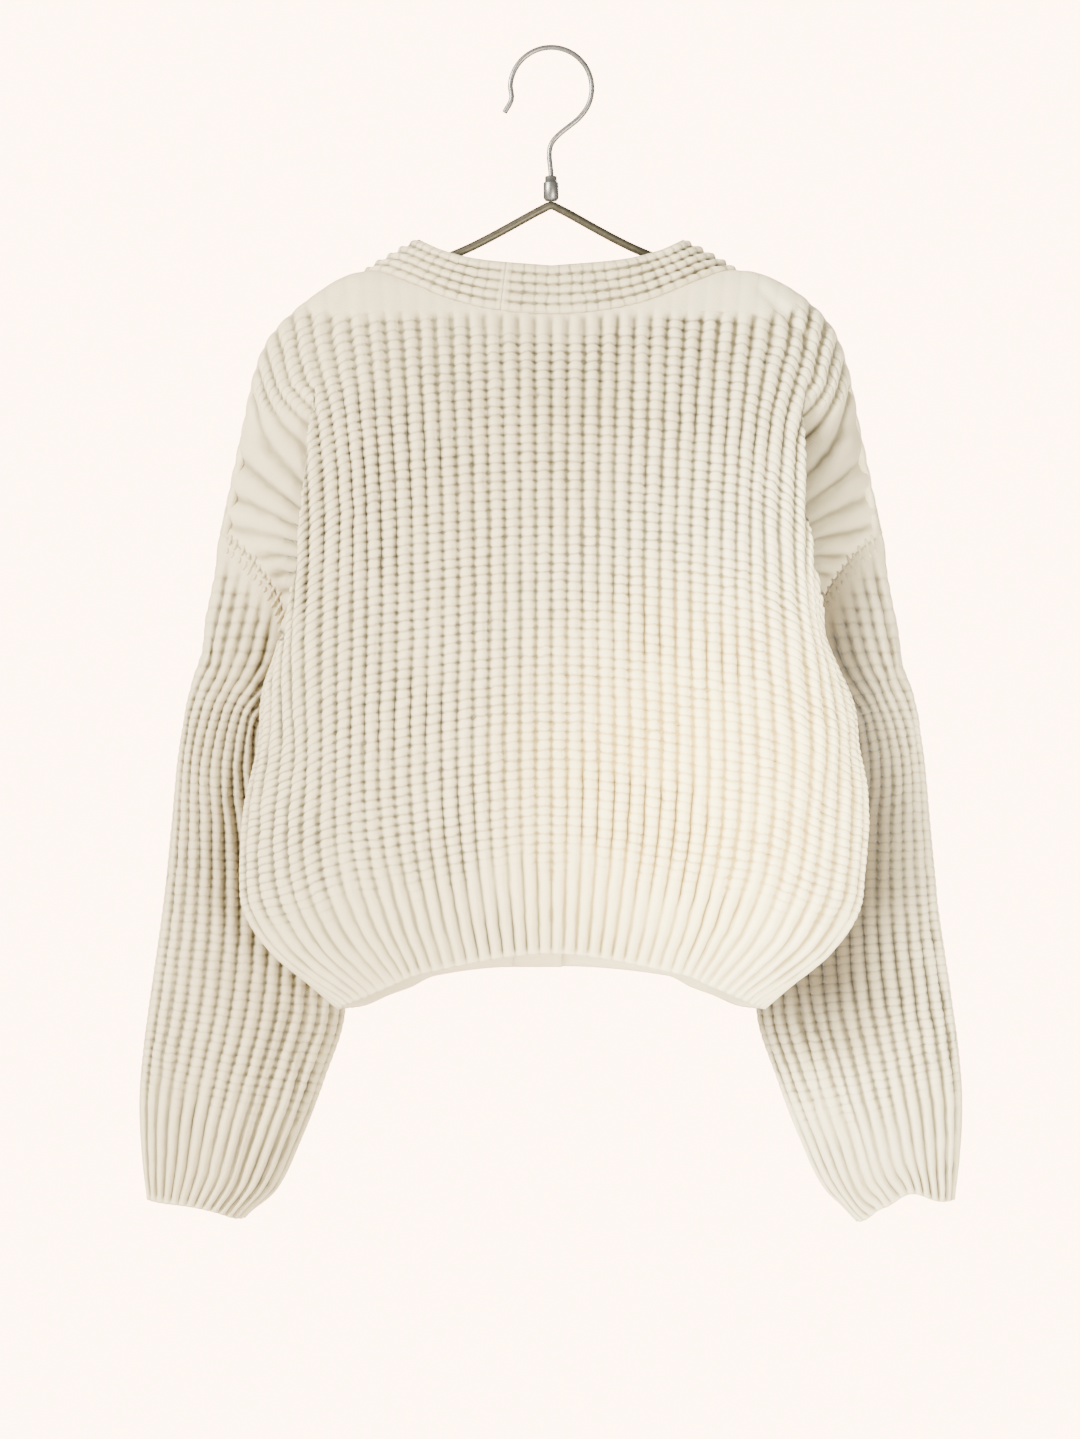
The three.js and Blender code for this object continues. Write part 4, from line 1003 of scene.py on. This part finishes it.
# The yarn that crosses between a button's four holes.
def makeThreads(name, centre, face):
    curve = bpy.data.curves.new("thread", "CURVE")
    curve.dimensions = "3D"
    curve.bevel_depth, curve.bevel_resolution = button["thread"] * mm, 2
    s, aside = button["holeSpread"], button["threadApart"]
    for turn in (1, -1):
        for k in (-1, 1):
            shift = np.array([aside * k, 0, -aside * k * turn])
            a = np.array([centre[0] - s, face, centre[2] - turn * s]) + shift
            b = np.array([centre[0] + s, face, centre[2] + turn * s]) + shift
            middle = (a + b) / 2 + np.array([0, button["threadRise"], 0])
            spline = curve.splines.new("POLY")
            spline.points.add(4)
            for point, t in zip(spline.points, np.linspace(0, 1, 5)):
                point.co = (*((a * (1 - t) ** 2 + 2 * middle * t * (1 - t) + b * t * t) * mm), 1)
    holder = placed("thread", curve)
    bpy.context.view_layer.update()
    threads = plainMesh(holder)
    bpy.data.objects.remove(holder)
    threads.materials.clear()
    threads.materials.append(yarn)
    return placed(name, threads)


buttons = []
for i in range(1, 6):
    low, high = (np.array(v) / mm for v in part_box(f"button_{i}"))
    centre = [(low[0] + high[0]) / 2, low[1], (low[2] + high[2]) / 2]
    r, t, rim, dish = button["radius"], button["thickness"], button["rim"], button["dish"]
    profile = [(0, 0), (r - 1.6, 0), (r - 0.5, 0.7), (r, t * 0.45), (r - 0.35, t - 0.8), (r - 1.1, t),
               (r - rim, t - 0.25), (r - rim - 1, t - dish), (r * 0.4, t - dish - 0.2), (0, t - dish - 0.25)]
    body = lathe(f"button{i}", profile, button["segments"], centre, "y")
    body.data.materials.append(horn)
    threads = makeThreads(f"buttonThread{i}", centre, centre[1] + t - dish - 0.1)
    buttons.append((body, threads, f"button_{i}"))
print("buttons made")

# the hanger
hanger = {"wire": 3.0, "apexZ": -112, "apexX": 7, "apexDrop": 3, "bendX": 62, "bendZ": -144,
          "underRibs": (13, 11, 9), "insideTip": 8.6, "neckDrop": 3.8, "tipDrop": 2, "clear": 8.3}
hook = {"wire": 1.9, "radius": 29.4, "tip": 195, "end": -48, "flareX": -33.5, "flareZ": -45, "neckZ": -68,
        "footZ": -90.7}
ferrule = {"radius": 5.5, "waist": 4.4, "low": -108.6, "high": -91, "segments": 40}


def makeWireTree():
    tree, given, give = geometryTree("roundWire", radius=0.002, spacing=0.002, sides=20, steel="Material")
    line = made(tree, "GeometryNodeMeshToCurve", {0: given("Geometry")})
    line = made(tree, "GeometryNodeResampleCurve", {"Curve": line, "Length": given("Spacing")}, mode="LENGTH")
    circle = made(tree, "GeometryNodeCurvePrimitiveCircle",
                  {"Resolution": given("Sides"), "Radius": given("Radius")})
    swept = made(tree, "GeometryNodeCurveToMesh", {"Curve": line, "Profile Curve": circle, "Fill Caps": True})
    shaded = made(tree, "GeometryNodeSetShadeSmooth", {"Geometry": swept})
    finishTree(tree, shaded, given("Steel"), give)
    return tree


# Even points on a curve that rounds its corners, through points in millimetres.
def smoothPath(points, per=24, tension=0.5):
    p = np.array(points, float)
    p = np.concatenate([[2 * p[0] - p[1]], p, [2 * p[-1] - p[-2]]])
    knots = np.concatenate([[0], np.cumsum(lengthOf(np.diff(p, axis=0))[:, 0] ** tension)])

    def between(t, j, k, a, b):
        return (knots[k] - t) / (knots[k] - knots[j]) * a + (t - knots[j]) / (knots[k] - knots[j]) * b

    out = []
    for i in range(1, len(p) - 2):
        t = np.linspace(knots[i], knots[i + 1], per, endpoint=False)[:, None]
        a, b, c = (between(t, j, j + 1, p[j], p[j + 1]) for j in (i - 1, i, i + 1))
        out.append(between(t, i, i + 1, between(t, i - 1, i + 1, a, b), between(t, i, i + 2, b, c)))
    return np.concatenate(out + [p[-2:-1]])


wireTree = makeWireTree()


def wirePiece(name, points, radius, steel):
    piece = placed(name, meshOf(name, points, [(i, i + 1) for i in range(len(points) - 1)]))
    return grown(piece, wireTree, radius=radius * mm, spacing=0.0025, sides=20, steel=steel)


def shoulderFacing(side, rib):
    line = backSurface[side](min(rib + 0.5, ribAt["neck"]), 0)[0] - backSurface[side](max(rib - 0.5, 0), 0)[0]
    return unit(np.array([side * abs(line[2]), 0, abs(line[0])]))


# Each arm runs from under the ferrule out of the neck and inside the shoulder to its tip.
def armPoints(side):
    at, neck = backSurface[side], ribAt["neck"]
    points = [(side * hanger["apexX"], 0, hanger["apexZ"] - hanger["apexDrop"]),
              (side * hanger["bendX"], 0, hanger["bendZ"]),
              at(neck, 0)[0] - shoulderFacing(side, neck) * (hanger["clear"] + hanger["neckDrop"])]
    for rib in hanger["underRibs"]:
        chord = (at(rib - 1, 0)[0] + at(rib + 1, 0)[0]) / 2
        points.append(chord - shoulderFacing(side, rib) * hanger["clear"])
    tipFacing = shoulderFacing(side, hanger["insideTip"])
    return points + [at(ribAt["tip"], 0)[0] - tipFacing * (hanger["clear"] + hanger["tipDrop"])]


armPath = smoothPath(armPoints(-1)[::-1] + [(0, 0, hanger["apexZ"])] + armPoints(1))
hangerArms = wirePiece("hangerArms", armPath, hanger["wire"], armSteel)
hookCentre = hook["wire"] - hook["radius"]
hookPath = [(hook["flareX"], 0, hook["flareZ"])]
for angle in np.radians(np.arange(hook["tip"], hook["end"], -20)):
    hookPath.append((hook["radius"] * math.cos(angle), 0, hookCentre + hook["radius"] * math.sin(angle)))
hookPath += [(0, 0, hook["neckZ"]), (0, 0, hook["footZ"])]
hangerHook = wirePiece("hangerHook", smoothPath(hookPath), hook["wire"], hookSteel)
w, r, lowZ, highZ = ferrule["waist"], ferrule["radius"], ferrule["low"], ferrule["high"]
ferruleProfile = [(0, lowZ), (w - 0.4, lowZ), (w, lowZ + 0.4), (r, lowZ + 2), (r, highZ - 5),
                  (r - 0.3, highZ - 4.4), (w, highZ - 4), (w, highZ - 0.5), (w - 0.5, highZ), (0, highZ)]
hangerFerrule = lathe("hangerFerrule", ferruleProfile, ferrule["segments"], (0, 0, 0), "z")
hangerFerrule.data.materials.append(hookSteel)
print("hanger made")

# what each piece stands for
cloth = [
    (back, "back", (0.60, 0.54), 0.29),
    (fronts["Left"], "front_left", (0.26, 0.54), 0.112),
    (fronts["Right"], "front_right", (0.28, 0.54), 0.124),
    (sleeves["Left"], "sleeve_left", (0.35, 0.49), 0.136),
    (sleeves["Right"], "sleeve_right", (0.35, 0.49), 0.136),
    (bands["Left"], "band_left", (0.042, 0.65), 0.027),
    (bands["Right"], "band_right", (0.042, 0.73), 0.0303),
]
for piece, node, flat, area in cloth:
    for face in piece.data.polygons:
        face.use_smooth = True
    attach(piece, "root")
    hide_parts(node)
    ["hanger_arms"] if node == "back" else []
for piece in seamLoops.values():
    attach(piece, "root")
for body, threadPiece, node in buttons:
    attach(body, "root")
    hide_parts(node)
    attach(threadPiece, "root")
steelPieces = ((hangerArms, "hanger_arms"), (hangerHook, "hanger_hook"), (hangerFerrule, "hanger_ferrule"))
for piece, node in steelPieces:
    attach(piece, "root")
    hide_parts(node)

# the studio: a warm backdrop that only the camera sees, a little fill, and a floor clear from below
studio = {"backdrop": (1.0, 0.66, 0.46, 1), "backdropStrength": 14, "fill": (1.0, 0.92, 0.78, 1),
          "fillStrength": 0.4, "floor": (0.9, 0.85, 0.81, 1), "floorZ": -1600, "floorSize": 2400}


def glowNode(tree, kind, colour, strength):
    return made(tree, kind, {"Color": colour, "Strength": strength})


def eitherShader(tree, amount, first, second):
    return made(tree, "ShaderNodeMixShader", {0: amount, 1: first, 2: second})


def seenByCamera(tree):
    return made(tree, "ShaderNodeLightPath", {}, "Is Camera Ray")


world = bpy.data.worlds.new("studio")
bpy.context.scene.world = world
world.use_nodes = True
tree = world.node_tree
tree.nodes.clear()
seen = glowNode(tree, "ShaderNodeBackground", studio["backdrop"], studio["backdropStrength"])
fill = glowNode(tree, "ShaderNodeBackground", studio["fill"], studio["fillStrength"])
addNode(tree, "ShaderNodeOutputWorld", {"Surface": eitherShader(tree, seenByCamera(tree), fill, seen)})

s, z = studio["floorSize"], studio["floorZ"]
floorMesh = meshOf("studioFloor", [(-s, -s, z), (s, -s, z), (s, s, z), (-s, s, z)], (), [(0, 1, 2, 3)])
floor = placed("studioFloor", floorMesh)
floorLook, tree, _ = principled("paleFloor", roughness=0.9, baseColor=studio["floor"])
glowing = glowNode(tree, "ShaderNodeEmission", studio["backdrop"], studio["backdropStrength"])
lit = eitherShader(tree, seenByCamera(tree), Amount(tree.nodes["Principled BSDF"].outputs[0]), glowing)
fromBelow = made(tree, "ShaderNodeNewGeometry", {}, "Backfacing")
clear = made(tree, "ShaderNodeBsdfTransparent", {})
feed(tree.nodes["Material Output"].inputs["Surface"], eitherShader(tree, fromBelow, lit, clear))
floorMesh.materials.append(floorLook)

# each lamp's kind, place, aim, power, colour and settings; the spot makes a warm pool low on the back
lamps = {
    "keySoft": ("AREA", (-2.3, -1.8, 0.75), (0, 0, -0.45), 390, (1, 0.925, 0.77), {"size": 0.7}),
    "warmPool": ("SPOT", (0.1, -2.2, -0.7), (0.14, 0, -0.53), 700, (1, 0.92, 0.72),
                 {"spot_size": math.radians(15), "spot_blend": 1.0, "shadow_soft_size": 0.12}),
    "lowWarm": ("AREA", (0.95, -1.9, -0.9), (0.15, 0, -0.6), 90, (1, 0.915, 0.72), {"size": 0.5}),
    "frontSoft": ("AREA", (1.2, 2.4, 0.8), (0, 0, -0.45), 190, (1, 0.92, 0.78), {"size": 1.4}),
}
for name, (kind, place, target, power, colour, settings) in lamps.items():
    lamp = bpy.data.lights.new(name, kind)
    lamp.energy, lamp.color = power, colour
    for label, value in settings.items():
        setattr(lamp, label, value)
    holder = placed(name, lamp)
    x, y, z = np.array(target, float) - np.array(place, float)
    holder.location = place
    holder.rotation_euler = (math.pi / 2 + math.atan2(z, math.hypot(x, y)), 0, math.atan2(-x, y))

lens = bpy.data.cameras.new("camera")
lens.lens, lens.sensor_width = 85, 36
camera = placed("camera", lens)
camera.location = (-0.008, -2.446, -0.482)
camera.rotation_euler = (math.pi / 2, 0, 0)
bpy.context.scene.camera = camera
print("studio set")

low, high = cadBox
